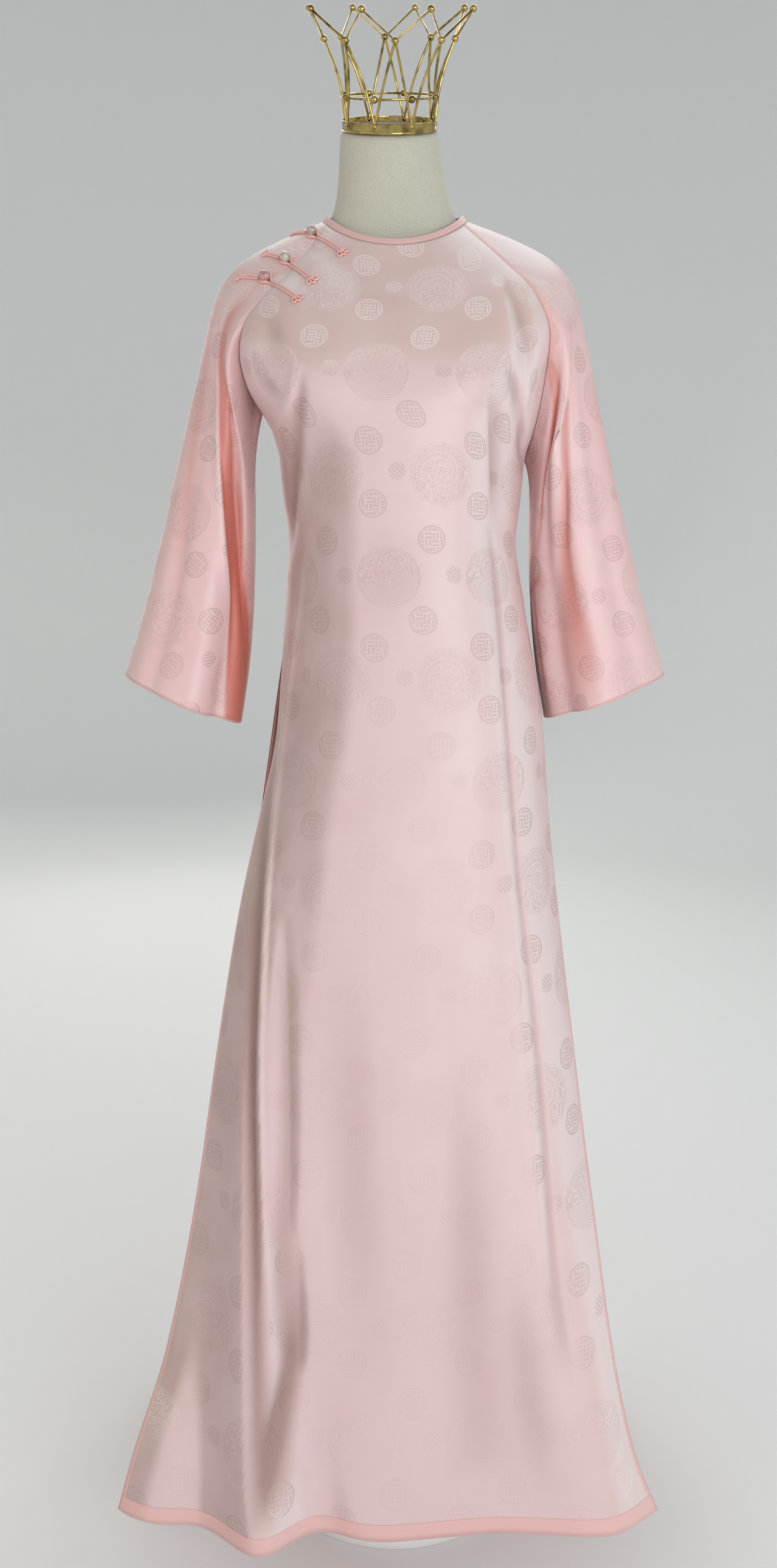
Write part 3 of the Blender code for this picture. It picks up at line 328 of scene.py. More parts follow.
# Where each painted look of the satin begins and the span over which it grows whole: painted dull shade,
# silver highlight and dusky shade on the ground, and the figure painted lighter and darker. `lean` is the
# upward share of the cloth's normal, `side` its share to one side
DULL_LEAN = (0.13, 0.22)
SILVER_LEAN = (0.54, 0.22)
SILVER_SIDE = (0.38, 0.24)
SILVER_SIDE_END = (0.80, 0.15)
DUSK_SIDE = (0.24, 0.20)
DUSK_TOP = (-1.21, 0.10)      # by height, below the bust
FIGURE_LEAN = (0.16, 0.20)
FIGURE_SIDE = (0.25, 0.50)
FIGURE_FAINT = (-1.06, 0.30)  # by height, below the waist
FIGURE_FAINT_SIDE = (0.15, 0.40)
FIGURE_FAINTER = 0.80         # share of the figure lost there
FIGURE_STRAIGHT = 0.70        # share of it left where the cloth faces straight ahead
SEAM_CALM = 15.0          # mm from a sewn edge over which creases die away
HEM_CALM = 60.0           # and from a hem or a cuff, down to these shares
HEM_CREASED = 0.3
CUFF_CREASED = 0.4
RAGLAN_CALM = (4, 30)     # mm down a sleeve where its creases begin, and over how much
SEWN_FROM = (0.80, 0.2)   # station from which a panel's edge counts as sewn, and over how much
NECK_CALM = 0.12          # stations under the neck over which a panel's creases die away
TURNING_LINES = (0, 0.33, 0.67, 1)    # where a turning's lines lie over its width
FAR = 99.0                # mm: away from any edge
THREADS = 0.9             # mm over which a woven line's edge softens
THREAD_RADIUS = 0.00028
FROG_CORD = 0.0013               # radius of the frogs' cords
PETAL_ROOT = 0.0010              # of a frog's petals beyond the end of its bar
PETAL_LONG = 0.0100
PETAL_HALF = 0.0021              # middle of the cord off the petal's own line
PETAL_LEANS = (33.0, 0.0, -33.0)     # degrees that the petals stand off the bar's line
KNOT_SHARE = 0.8                 # size of the knot half's petals for the loop half's
# Hand stitches: how far apart they start and how long each is
HEM_STITCH = (0.0062, 0.0016)
CUFF_STITCH = (0.0050, 0.0016)
BAND_STITCH = (0.0045, 0.0018)
KNOT_OFF = 0.0038                # from the bead to the knot half's strands
EYE_OFF = 0.0033                 # and to the loop half's, where its eye opens
EYE_OPEN = 32                    # degrees of the eye's opening, to each side of the strands
EYE_TALL = 1.6                   # height of the loop's eye for its width, where it holds the bead
BAND_THICK = 0.0004              # half thickness of the neck band, folded double

# The damask's repeat, in mm of cloth: half its size, and where its motifs stand in it
HALF_REPEAT = (58.0, 107.0)
CLOUD_AT = (0.0, 0.0)
LEAF_AT = (58.0, 107.0)
FRETS_AT = ((92.0, 62.0), (40.0, 34.0), (43.5, 183.0), (105.0, 146.0))
BARS_AT = ((69.0, 2.5), (11.0, 109.5))
FEATHER_PITCH = 2.7       # mm from one line to the next
FRET_PITCH = 4.1
BAR_PITCH = 4.8
FRET_HALF = 7.6           # half width of a fret's inner square
LARGE_FAINTER = 0.72      # strength of the large roundels for the others'
# Where each piece was cut from the repeat: mm across and up from its own middle line and hem
FRONT_CUT = (-41.0, 20.0)
BACK_CUT = (31.0, 58.0)
# A sleeve's, from its outer line and its seam, and degrees its grain leans
SLEEVE_RIGHT_CUT = (20.0, -99.0, 24.0)
SLEEVE_LEFT_CUT = (38.0, -5.0, 0.0)

# Creases. Each is a lean to one side, then rows of place across, place up or down, half width and
# rise, in mm; a trough's rise is below zero. A panel's places are x and height
FRONT_CREASES = creases_in_metres((
    (0.3, (-104, 1226, 5, 1), (-107.6, 1196, 6, 3), (-121.7, 1176, 6, 3.4), (-133.5, 1155, 6, 1)),
    (0, (-98, 1214, 6, -1.4), (-101, 1190, 7, -3.4), (-106, 1155, 6, -3), (-111, 1115, 6, -3.8),
     (-113.5, 1064, 6, -3), (-117, 1030, 6, -0.6)),
    (-0.3, (-90, 1185, 5, 0.6), (-93.5, 1150, 5, 2.6), (-97.5, 1110, 5, 2.8), (-104.6, 1062, 5, 0.8)),
    (0, (-158, 1264, 7, 2.2), (-140.5, 1234, 8, 3.4), (-123.7, 1210, 7, 0.8)),
    (0, (-150, 1243, 6, -2.2), (-134, 1214, 7, -3), (-122, 1196, 6, -0.6)),
    (0.2, (-84, 1352, 12, 1), (-66, 1318, 14, 1.6), (-48, 1282, 16, 0.4)),
    (0.2, (-122, 1318, 10, 1), (-102, 1292, 13, 1.8), (-86, 1262, 14, 0.6)),
    (0, (-140, 1300, 8, -0.8), (-128, 1270, 10, -2), (-120, 1240, 10, -0.4)),
    (-0.3, (98.5, 1196, 6, -0.8), (103.5, 1165, 7, -3.2), (104.6, 1114, 7, -3), (104, 1070, 6, -0.6)),
    (0.3, (120, 1236, 5, -0.8), (129, 1205, 6, -3.6), (138.4, 1161, 6, -4), (141.5, 1125, 5, -1)),
    (0, (153, 1258, 6, 1.4), (142, 1216, 7, 3.6), (134.7, 1185, 6, 2.2), (131, 1150, 6, 0.6)),
    (0.2, (111, 1318, 8, 0.6), (120, 1275, 9, 2.6), (128.1, 1232, 8, 1.2)),
    (0.2, (124, 1322, 8, -0.6), (134.5, 1280, 9, -2.4), (140, 1248, 8, -1)),
    (0.3, (-96, 1040, 3.5, 0.4), (-104.6, 960, 3.5, 2.2), (-117, 865, 4, 3), (-127.3, 765, 4, 3.4),
     (-136, 640, 4, 3.6), (-139, 516, 4.5, 3.6), (-134.5, 400, 5, 3), (-127, 300, 7, 2),
     (-121, 200, 10, 0.6)),
    (-0.2, (-125, 860, 6, -0.6), (-139.5, 765, 7, -3.4), (-148.5, 640, 8, -5.6), (-151, 510, 9, -6.6),
     (-145, 380, 10, -6.6), (-139, 270, 11, -6.2), (-135, 180, 12, -5), (-134, 100, 13, -2)),
    (0, (-115.1, 650, 7, -0.6), (-112.7, 549, 9, -2.6), (-110.2, 440, 10, -3.4), (-112.8, 329, 10, -3.6),
     (-114, 271, 9, -2.2), (-102, 228, 8, -0.6)),
    (0, (-100, 340, 9, -1), (-100.5, 255, 11, -5.8), (-112, 178, 12, -7.4), (-122, 110, 13, -3.6)),
    (0, (-98, 520, 14, 0.4), (-94, 380, 16, 1.8), (-90, 240, 17, 1.8), (-86, 140, 18, 0.4)),
    (0.4, (100.8, 1060, 3.5, -0.8), (109.4, 1000, 3.5, -2.4), (114.9, 909, 3.5, -2.8), (122, 800, 4, -3),
     (130.6, 678, 4, -3.2), (141, 580, 4.5, -3.4), (150, 470, 5, -3.6), (156, 360, 6, -3.2),
     (164, 270, 7, -2.2), (174, 215, 8, -0.4)),
    (-0.3, (93, 1010, 8, 0.4), (101.5, 900, 9, 1.4), (115, 720, 11, 1.8), (133, 520, 13, 2.2),
     (143, 360, 14, 1.8), (150, 260, 14, 0.4)),
    (0, (118, 300, 14, -0.4), (127, 240, 17, -1.8), (135, 176, 18, -2), (146, 120, 18, -0.6)),
    (0, (198, 430, 12, 0.4), (206, 320, 14, 2.2), (218, 200, 15, 2.6), (230, 120, 15, 0.8)),
    (0, (25, 760, 24, 0.4), (18, 560, 30, 1.4), (20, 380, 32, 0.8)),
    (0, (-45, 620, 22, -0.4), (-42, 420, 26, -1.8), (-30, 240, 26, -0.6)),
    (0, (62, 500, 20, -0.4), (74, 320, 24, -2), (82, 150, 26, -1.2)),
    (0, (-20, 1070, 30, 0.2), (-5, 1010, 34, -1.2), (20, 960, 30, -0.2)),
))
BACK_CREASES = creases_in_metres((
    (0.2, (-86, 1150, 6, -0.8), (-82, 1090, 7, -3.4), (-84, 1020, 7, -3.2), (-92, 950, 7, -0.8)),
    (-0.2, (90, 1140, 6, -0.8), (84, 1080, 7, -3.2), (83, 1005, 7, -3.4), (90, 930, 7, -0.8)),
    (0, (-68, 1130, 7, 0.6), (-66, 1070, 8, 2.4), (-70, 1000, 8, 0.8)),
    (0, (70, 1120, 7, 0.6), (67, 1055, 8, 2.6), (70, 985, 8, 0.8)),
    (0, (-152, 1240, 8, 2), (-120, 1262, 10, 3.6), (-72, 1276, 12, 1)),
    (0, (-146, 1222, 8, -1.8), (-112, 1240, 10, -2.8), (-70, 1250, 11, -0.6)),
    (0, (150, 1226, 8, 2), (116, 1254, 10, 3.4), (66, 1272, 12, 0.8)),
    (0, (146, 1196, 8, -1.8), (110, 1226, 10, -2.8), (70, 1240, 11, -0.6)),
    (0, (-28, 1372, 14, 0.4), (-34, 1320, 16, 1.6), (-26, 1230, 18, 0.4)),
    (0, (22, 1200, 20, 0.4), (16, 1120, 22, -1.8), (18, 1030, 20, -0.6)),
    (0.3, (-118, 930, 7, 0.8), (-128, 760, 9, 3.6), (-136, 540, 11, 5), (-146, 310, 12, 5.6),
     (-156, 100, 14, 4)),
    (-0.2, (-98, 840, 8, -0.6), (-108, 640, 11, -4), (-116, 400, 13, -5.4), (-120, 140, 14, -4)),
    (0.2, (-40, 780, 10, 0.6), (-34, 560, 14, 3), (-44, 300, 17, 4), (-50, 110, 18, 2)),
    (0, (18, 860, 9, -0.6), (28, 620, 12, -3.4), (36, 360, 14, -4.6), (50, 110, 16, -3)),
    (-0.3, (112, 920, 7, 0.8), (124, 720, 9, 4), (134, 500, 11, 5.4), (144, 260, 13, 5), (152, 100, 14, 3)),
    (0.2, (86, 760, 9, -0.6), (96, 560, 12, -4.4), (102, 330, 14, -5), (112, 100, 15, -3)),
    (0, (178, 560, 10, 0.4), (188, 380, 12, -3.4), (204, 160, 14, -4)),
    (0, (-184, 520, 10, 0.4), (-196, 340, 12, -3.6), (-214, 130, 14, -4)),
))
# A sleeve's places are degrees round it from its outer line, toward the front, and mm down from its
# seam; half a turn is the line under the arm
SLEEVE_RIGHT_CREASES = creases_in_metres((
    (-0.4, (56, 100, 10, 0.6), (82, 161, 10, 2.4), (98, 200, 10, 3.4), (114, 242, 11, 3.6),
     (132, 275, 11, 3), (142, 335, 11, 1)),
    (0.2, (108, 80, 10, -2), (122, 130, 12, -6), (136, 170, 13, -7.2), (150, 220, 13, -6.6),
     (163, 270, 12, -5), (172, 330, 10, -1.4)),
    (0, (34, 110, 14, -0.4), (32, 200, 17, -2.2), (40, 290, 18, -2.2), (54, 370, 16, -1.4),
     (62, 430, 14, -0.2)),
    (0, (8, 260, 18, 0.2), (4, 360, 20, 1.6), (12, 470, 22, 0.4)),
    (0, (-40, 140, 14, -1), (-44, 260, 16, -3.4), (-40, 400, 18, -3.4), (-34, 540, 18, -0.6)),
    (0, (-84, 80, 12, 0.8), (-92, 200, 15, 3.4), (-96, 320, 16, 3), (-92, 450, 15, 0.8)),
    (0.2, (-128, 20, 10, -2), (-134, 120, 12, -6.6), (-130, 230, 12, -5), (-126, 330, 12, -1.4)),
), (0,))
SLEEVE_LEFT_CREASES = creases_in_metres((
    (0, (110, 4, 7, -2.6), (122, 30, 9, -6.6), (134, 52, 10, -8), (142, 88, 9, -5), (150, 132, 8, -1)),
    (0.3, (64, 60, 11, -0.4), (76, 110, 12, -3), (90, 152, 13, -4.4), (103, 196, 14, -5.2),
     (114, 236, 15, -5), (112, 292, 16, -4.8), (106, 346, 16, -3.6), (100, 410, 14, -0.6)),
    (0, (96, 30, 9, 0.6), (107, 82, 11, 3.2), (117, 134, 12, 3.4), (127, 192, 12, 2.4),
     (132, 250, 11, 0.6)),
    (0, (50, 100, 13, 0.4), (66, 182, 15, 2.4), (76, 252, 17, 2.8), (78, 332, 17, 2.2), (70, 420, 15, 0.4)),
    (0, (171, 150, 3.5, -0.8), (168, 205, 4, -1.8), (166, 262, 4, -1.8), (168, 330, 3.5, -0.6)),
    (0, (178, 150, 3.5, -1.2), (162, 166, 4, -1.8), (150, 190, 4, -0.6)),
    (0, (10, 240, 16, -0.4), (8, 340, 18, -1.6), (16, 450, 18, -0.4)),
    (0, (-36, 150, 14, -1), (-42, 270, 16, -3.2), (-38, 410, 18, -3.6), (-30, 540, 18, -0.6)),
    (0, (-80, 90, 12, 0.8), (-90, 210, 15, 3.4), (-94, 330, 16, 3), (-88, 450, 16, 0.8)),
    (-0.2, (-126, 30, 10, -1.6), (-132, 110, 12, -6), (-134, 220, 12, -4.6), (-124, 330, 12, -1.2)),
), (0,))
# Painted shade: the sides of sleeve folds that face the body, painted rosy as in shade. Columns: metres down
# from the seam, degrees where the shade starts and ends, degrees over which it starts, share
SLEEVE_RIGHT_SHADE = (
    (0.040, 50.0, 88.0, 16.0, 0.0), (0.075, 54.0, 104.0, 16.0, 0.75), (0.120, 62.0, 122.0, 14.0, 0.95),
    (0.161, 84.0, 141.0, 5.0, 1.1), (0.200, 100.0, 157.0, 3.0, 1.2), (0.242, 117.0, 173.0, 3.0, 1.25),
    (0.270, 132.0, 182.0, 3.0, 1.25), (0.335, 142.0, 186.0, 4.0, 1.2), (0.400, 152.0, 190.0, 6.0, 1.0),
)
SLEEVE_LEFT_SHADE = (
    (0.000, 106.0, 124.0, 5.0, 0.5), (0.030, 112.0, 134.0, 4.0, 1.0), (0.052, 124.0, 142.0, 4.0, 1.0),
    (0.088, 134.0, 152.0, 5.0, 0.8), (0.140, 146.0, 160.0, 6.0, 0.0),
)

IMAGE_WIDE, IMAGE_TALL = 1277, 2576    # pixels of the render, which the next two count in
CAMERA_FOCUS = 2100.0
CAMERA_AXIS = (640.0, 930.0)     # the pixel on the lens's axis
CAMERA_PLACE = (-0.0063, -1.47, 1.02)
# Columns: name, place, what it faces, width and height, watts, colour
LIGHTS = (
    ("softbox_front", (1.3, -2.7, 1.05), (0.0, 0.0, 0.95), (2.3, 1.2), 39.0, "#F6FAFF"),
    ("fill_left", (-2.3, -1.9, 1.2), (0.0, 0.0, 1.0), (1.4, 1.6), 8.0, "#FFEADC"),
    ("softbox_above", (0.2, 1.3, 3.0), (0.0, 0.0, 1.3), (2.2, 1.6), 22.0, "#FFFFFF"),
    ("softbox_behind", (-0.8, 3.0, 1.7), (0.0, 0.0, 1.0), (2.4, 1.8), 22.0, "#FFFDFA"),
)
WORLD_COLOUR = "#F1F3F5"
WORLD_STRENGTH = 0.42
FLOOR_REACH = 3.0                # from the middle to the curve of the backdrop
FLOOR_CURVE = 0.8                # radius of that curve
ROOM_SIDES = 96


# ---- curves


def through(table, at):
    """A table's rows joined by cubics, read at `at` in column 0, that never swing past a row."""
    rows = np.asarray(table, float)
    knots, values = rows[:, 0], rows[:, 1:]
    at = np.clip(np.asarray(at, float), knots[0], knots[-1])
    step = np.diff(knots)[:, None]
    slope = np.diff(values, axis=0) / step
    tangent = np.empty_like(values)
    product = slope[:-1] * slope[1:]
    total = np.where(product > 0, slope[:-1] + slope[1:], 1.0)
    tangent[1:-1] = np.where(product > 0, 2 * product / total, 0.0)
    tangent[0], tangent[-1] = slope[0], slope[-1]
    i = np.clip(np.searchsorted(knots, at, side="right") - 1, 0, len(knots) - 2)
    length = step[i]
    t = ((at - knots[i])[:, None]) / length
    return (
        (2 * t**3 - 3 * t**2 + 1) * values[i]
        + (t**3 - 2 * t**2 + t) * length * tangent[i]
        + (3 * t**2 - 2 * t**3) * values[i + 1]
        + (t**3 - t**2) * length * tangent[i + 1]
    )


def ease(value):
    """0 to 1 with flat ends: 3v^2 - 2v^3."""
    value = np.clip(value, 0.0, 1.0)
    return value * value * (3 - 2 * value)


def ramp(value, start, span):
    """0 up to `start`, then eased up to 1 over `span`."""
    return ease((value - start) / span)


def unit(vectors):
    """The same directions, each of length one."""
    return vectors / np.linalg.norm(vectors, axis=-1, keepdims=True)


def circle(count):
    """Angles of even steps round a circle."""
    return 2 * math.pi * np.arange(count) / count


def growing(steps, axis=0):
    """Running totals of steps, from 0."""
    return np.insert(np.cumsum(steps, axis=axis), 0, 0.0, axis=axis)


def lengths(points, axis=0):
    """How far each point is from the next along an axis."""
    return np.linalg.norm(np.diff(points, axis=axis), axis=-1)


def differences(points, axis, around):
    """From each point's neighbour before it to the one after it along an axis, closed or open."""
    if around:
        return np.roll(points, -1, axis=axis) - np.roll(points, 1, axis=axis)
    return np.gradient(points, axis=axis)


def run_of(points):
    """How far along a polyline each of its points lies."""
    return growing(lengths(points))


def evenly(points, count):
    """`count` points spread evenly along a polyline."""
    run = run_of(points)
    want = np.linspace(0, run[-1], count)
    return np.stack([np.interp(want, run, points[:, k]) for k in range(3)], axis=1)


def smoothed(grid, times):
    """A grid whose rows are averaged with their neighbours, its first and last row kept."""
    for _ in range(times):
        grid[1:-1] = grid[1:-1] / 2 + (grid[:-2] + grid[2:]) / 4
    return grid


def neck_loop(degrees, spread=0.0):
    """Points of the neck opening, by degrees from the front; `spread` carries them down the band."""
    turn = np.radians(np.asarray(degrees, float))
    front = np.clip(np.cos(turn), 0, 1)
    back = np.clip(-np.cos(turn), 0, 1)
    drop = NECK_BAND_DROP * spread / NECK_BAND_WIDTH
    reach = spread * BAND_FORWARD
    x = (NECK_SIDE + spread * BAND_SIDEWAYS) * np.sin(turn)
    y = NECK_CENTRE - (NECK_FRONT + reach) * front + (NECK_BACK + reach) * back
    height = (
        NECK_SIDE_HEIGHT
        + (NECK_FRONT_HEIGHT - NECK_SIDE_HEIGHT) * front**NECK_DIP
        + (NECK_BACK_HEIGHT - NECK_SIDE_HEIGHT) * back**NECK_DIP
        - drop
    )
    return np.stack([x, y, height], axis=1)


def raglan(table, underarm, degrees):
    """The seam from the underarm to the neck band, as a table of share, x, y, height."""
    neck = neck_loop([degrees], NECK_BAND_WIDTH)[0]
    return ((0.0, *underarm),) + table + ((1.0, *neck),)


# ---- panels and sleeves as grids


def edge_points(edges, seams, stations):
    """Both edges of a panel at its stations: arrays of x, y, z at the wearer's right and left."""
    low = through(edges, stations[stations <= 1])
    side = through(SIDE_SEAMS, stations[(stations > 1) & (stations <= 2)] - 1)
    right, left = (through(seam, stations[stations > 2] - 2) for seam in seams)
    return (
        np.concatenate([low[:, [0, 2, 4]], side[:, [0, 2, 3]], right]),
        np.concatenate([low[:, [1, 3, 4]], side[:, [1, 2, 4]], left]),
    )


def row_points(right, left, middle, columns):
    """One row: two quarter curves that meet at the middle, evenly spaced along the cloth."""
    y, height, turn, square = middle
    angle = np.radians(turn) * np.linspace(-1, 1, ROW_SAMPLES)
    power = 2.0 / square
    end_sine = math.sin(math.radians(turn)) ** power
    end_cosine = max(math.cos(math.radians(turn)), 0.0) ** power
    across = np.abs(np.sin(angle)) ** power / end_sine
    swell = (np.clip(np.cos(angle), 0, 1) ** power - end_cosine) / (1 - end_cosine)
    edge = np.where((angle < 0)[:, None], right, left)
    centre = (right[0] + left[0]) / 2
    x = centre + (edge[:, 0] - centre) * across
    depth = edge[:, 1] + (y - edge[:, 1]) * swell
    rise = edge[:, 2] + (height - edge[:, 2]) * swell
    return evenly(np.stack([x, depth, rise], axis=1), columns)


def fold_rise(x, height, folds):
    """How far the large folds lift the cloth: a bell across each fold's line, deeper toward the hem."""
    rise = np.zeros_like(x)
    for top, bottom, x_top, x_middle, x_bottom, wide_top, wide_bottom, rise_top, rise_bottom in folds:
        down = np.clip((top - height) / (top - bottom), 0.0, 1.0)
        line = (
            x_top * (1 - down) * (1 - 2 * down)
            + x_middle * 4 * down * (1 - down)
            + x_bottom * down * (2 * down - 1)
        )
        wide = wide_top + (wide_bottom - wide_top) * down
        tall = rise_top + (rise_bottom - rise_top) * down**FOLD_GROWTH
        fade = ease((top - height) / FOLD_FADE) * ease((height - bottom) / (FOLD_FADE / 2) + 1)
        rise += tall * fade * np.exp(-(((x - line) / wide) ** 2))
    return rise


def crease_rise(a, b, creases, degree=1.0):
    """How far creases lift the cloth at (a, b): across each crease's path a bell, steeper on one side.

    A crease is a lean and rows of (a, b, half width, rise); a trough's rise is below zero. The path
    runs through its rows, and width and rise go with it and fade past its ends. `degree` is what one
    unit of the rows' a counts for.
    """
    rise = np.zeros_like(a)
    for lean, *rows in creases:
        rows = np.asarray(rows, float) * (degree, 1.0, 1.0, 1.0)
        run = run_of(rows[:, :2])
        path = through(np.column_stack([run, rows]), np.linspace(0, run[-1], CREASE_STEPS))
        spot = np.stack([a, b], axis=-1)
        near, reach = True, 4 * path[:, 2].max()
        for at, line in ((a, path[:, 0]), (b, path[:, 1])):
            near = near & (np.abs(at - line.mean()) < np.ptp(line) / 2 + reach)
        spot = spot[near]
        best = np.full(len(spot), np.inf)
        lift = np.zeros(len(spot))
        for start, end in zip(path[:-1], path[1:]):
            along = end[:2] - start[:2]
            length = np.hypot(*along)
            share = np.clip((spot - start[:2]) @ along / length**2, 0, 1)
            off = spot - start[:2] - share[:, None] * along
            gap = np.hypot(off[:, 0], off[:, 1])
            side = np.sign(off[:, 0] * along[1] - off[:, 1] * along[0])
            wide = (start[2] + (end[2] - start[2]) * share) * (1 + lean * side)
            tall = start[3] + (end[3] - start[3]) * share
            closer = gap < best
            lift = np.where(closer, tall * np.exp(-((gap / wide) ** 2)), lift)
            best = np.where(closer, gap, best)
        rise[near] += lift
    return rise


def panel_points(edges, seams, middles, columns, folds, stations, facing):
    """A panel's grid, station by station from the hem up, from the wearer's right to the left."""
    right, left = edge_points(edges, seams, stations)
    middle = through(middles, stations)
    right, left, middle = (smoothed(table, 6) for table in (right, left, middle))
    grid = np.stack([row_points(r, l, m, columns) for r, l, m in zip(right, left, middle)])
    share = np.linspace(-1, 1, columns)
    free = ease((1 - np.abs(share)) / EDGE_STILL) + ramp(-stations, *SLIT_FREE)[:, None] * SLIT_FOLDED
    rise = fold_rise(grid[..., 0], grid[..., 2], folds) * np.clip(free, 0, 1)
    if facing < 0:
        for x, height, wide, tall, depth in CUPS:
            off = ((grid[..., 0] - x) / wide) ** 2 + ((grid[..., 2] - height) / tall) ** 2
            rise += depth * np.exp(-off)
    rise *= ease((3.0 - stations) / NECK_STILL)[:, None]
    grid[..., 1] += facing * rise
    top = neck_loop(np.linspace(-RAGLAN_FRONT, RAGLAN_FRONT, ROW_SAMPLES), NECK_BAND_WIDTH)
    if facing > 0:
        top = neck_loop(np.linspace(-RAGLAN_BACK, RAGLAN_BACK - 360, ROW_SAMPLES), NECK_BAND_WIDTH)
    grid += (evenly(top, columns) - grid[-1]) * ramp(stations, *NECK_PULL)[:, None, None]
    return grid


def outward(grid, around):
    """Unit normals of a grid, by the cross product of its two directions."""
    normal = np.cross(differences(grid, 1, around), differences(grid, 0, False))
    return normal / np.maximum(np.linalg.norm(normal, axis=-1, keepdims=True), 1e-9)


def sleeve_ring(front, back, side):
    """The closed loop of one armhole: neck, front seam down to the underarm, back seam up again."""
    first = SKIRT_ROWS + WAIST_ROWS
    column = 0 if side < 0 else -1
    down = front[first:, column][::-1]
    up = back[first + 1:, column]
    turns = side * np.linspace(RAGLAN_BACK, RAGLAN_FRONT, NECK_COLUMNS + 2)[1:-1]
    over = neck_loop(turns, NECK_BAND_WIDTH)
    middle = NECK_COLUMNS // 2
    return np.concatenate([over[middle:], down, up, over[:middle]])


def sleeve_points(table, ring, rows):
    """A sleeve's rings from the raglan seam down: the seam's own points, eased into swelling ovals."""
    share = np.linspace(0.0, 1.0, rows)
    read = smoothed(through(table, share), 6)
    run = np.linalg.norm(np.roll(ring, -1, axis=0) - ring, axis=1)
    turn = 2 * math.pi * growing(run[:-1]) / run.sum()
    outer, inner = read[:, None, 0:3], read[:, None, 3:6]
    swell = np.where(np.sin(turn) > 0, read[:, 6:7], read[:, 7:8])
    grid = (outer + inner) / 2 + (outer - inner) / 2 * np.cos(turn)[None, :, None]
    grid[..., 1] -= swell * np.sin(turn)
    for start, end, from_turn, to_turn, wide, depth in SLEEVE_FOLDS:
        down = np.clip((share - start) / (end - start), 0, 1)
        line = np.radians(from_turn + (to_turn - from_turn) * down)[:, None]
        off = (np.angle(np.exp(1j * (turn[None, :] - line)))) / math.radians(wide)
        grown = ease(down / FOLD_START) * (FOLD_SHALLOW + (1 - FOLD_SHALLOW) * down)
        lift = depth * grown[:, None] * np.exp(-(off**2))
        grid = grid + unit(grid - grid.mean(axis=1, keepdims=True)) * lift[..., None]
    grid += (ring - grid[0]) * (1 - ease(share / SEAM_PULL))[:, None, None]
    return grid


# ---- meshes


def meshed(name, vertices, faces, finish):
    """A smooth object made from its points and faces, with its material."""
    mesh = bpy.data.meshes.new(name)
    mesh.from_pydata(np.asarray(vertices).tolist(), [], faces)
    mesh.materials.append(finish)
    mesh.polygons.foreach_set("use_smooth", np.full(len(mesh.polygons), True))
    mesh.update()
    made = bpy.data.objects.new(name, mesh)
    bpy.context.scene.collection.objects.link(made)
    return made


def keep(name, node, vertices, faces, finish, slot, turn_out=True):
    """A piece on the body, for its CAD node if it has one, its faces turned out; its slot is not used."""
    piece = meshed(name, vertices, faces, finish)
    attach(piece, "root")
    if turn_out:
        work = bmesh.new()
        work.from_mesh(piece.data)
        bmesh.ops.recalc_face_normals(work, faces=work.faces)
        work.to_mesh(piece.data)
        work.free()
    if node:
        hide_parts(node)
    return piece


def grid_quads(rows, columns, around, start=0, flip=False):
    """Quads between the rows of a grid whose points are numbered row by row from `start`."""
    r, c = np.meshgrid(np.arange(rows - 1), np.arange(columns if around else columns - 1), indexing="ij")
    a = start + r * columns + c
    b = start + r * columns + (c + 1) % columns
    quads = np.stack([a, b, b + columns, a + columns], axis=-1).reshape(-1, 4)
    return (quads[:, ::-1] if flip else quads).tolist()


def wall_faces(rows, columns, around, flip):
    """Faces of a closed sheet: an outer grid, an inner grid behind it and the rims that join them."""
    shift = rows * columns
    faces = grid_quads(rows, columns, around, 0, flip)
    faces += grid_quads(rows, columns, around, shift, not flip)
    across = np.arange(columns if around else columns - 1)
    rims = [(across, (across + 1) % columns)]
    last = (rows - 1) * columns
    rims.append((last + (across + 1) % columns, last + across))
    if not around:
        down = np.arange(rows - 1) * columns
        rims.append((down + columns, down))
        rims.append((down + columns - 1, down + 2 * columns - 1))
    for a, b in rims:
        rim = np.stack([b, a, a + shift, b + shift], axis=-1)
        faces += (rim[:, ::-1] if flip else rim).tolist()
    return faces


def fan(start, columns, point, flip=False):
    """Triangles from a ring, numbered from `start`, to one point."""
    here = start + np.arange(columns)
    edge = (here, np.roll(here, -1)) if flip else (np.roll(here, -1), here)
    return np.stack([*edge, np.full(columns, point)], axis=-1).tolist()


def looped(rings):
    """Points and faces of rings joined into a loop."""
    rows, columns = rings.shape[:2]
    faces = np.array(grid_quads(rows + 1, columns, True)) % (rows * columns)
    return rings.reshape(-1, 3), faces.tolist()


def stacked(rings):
    """Points and faces of rings joined from the first to the last, with a point closing each end."""
    rows, columns = rings.shape[:2]
    count = rows * columns
    faces = grid_quads(rows, columns, True) + fan(0, columns, count)
    faces += fan(count - columns, columns, count + 1, True)
    ends = np.stack([rings[0].mean(axis=0), rings[-1].mean(axis=0)])
    return np.concatenate([rings.reshape(-1, 3), ends]), faces


def turned(profile, count):
    """Rings round the Z axis: each (radius, height) of a profile swept in `count` steps."""
    spin = circle(count)
    rings = np.asarray(profile, float)
    x, y = rings[:, :1] * np.cos(spin), rings[:, :1] * np.sin(spin)
    return np.stack([x, y, np.broadcast_to(rings[:, 1:], x.shape)], axis=-1)


def rounded(path, times, closed=False):
    """A path with its corners cut: each pass puts points a quarter of the way along every side."""
    for _ in range(times):
        ahead = np.roll(path, -1, axis=0) if closed else path[1:]
        here = path if closed else path[:-1]
        cut = np.stack([here * 0.75 + ahead * 0.25, here * 0.25 + ahead * 0.75], axis=1)
        cut = cut.reshape(-1, path.shape[1])
        path = cut if closed else np.concatenate([path[:1], cut, path[-1:]])
    return path


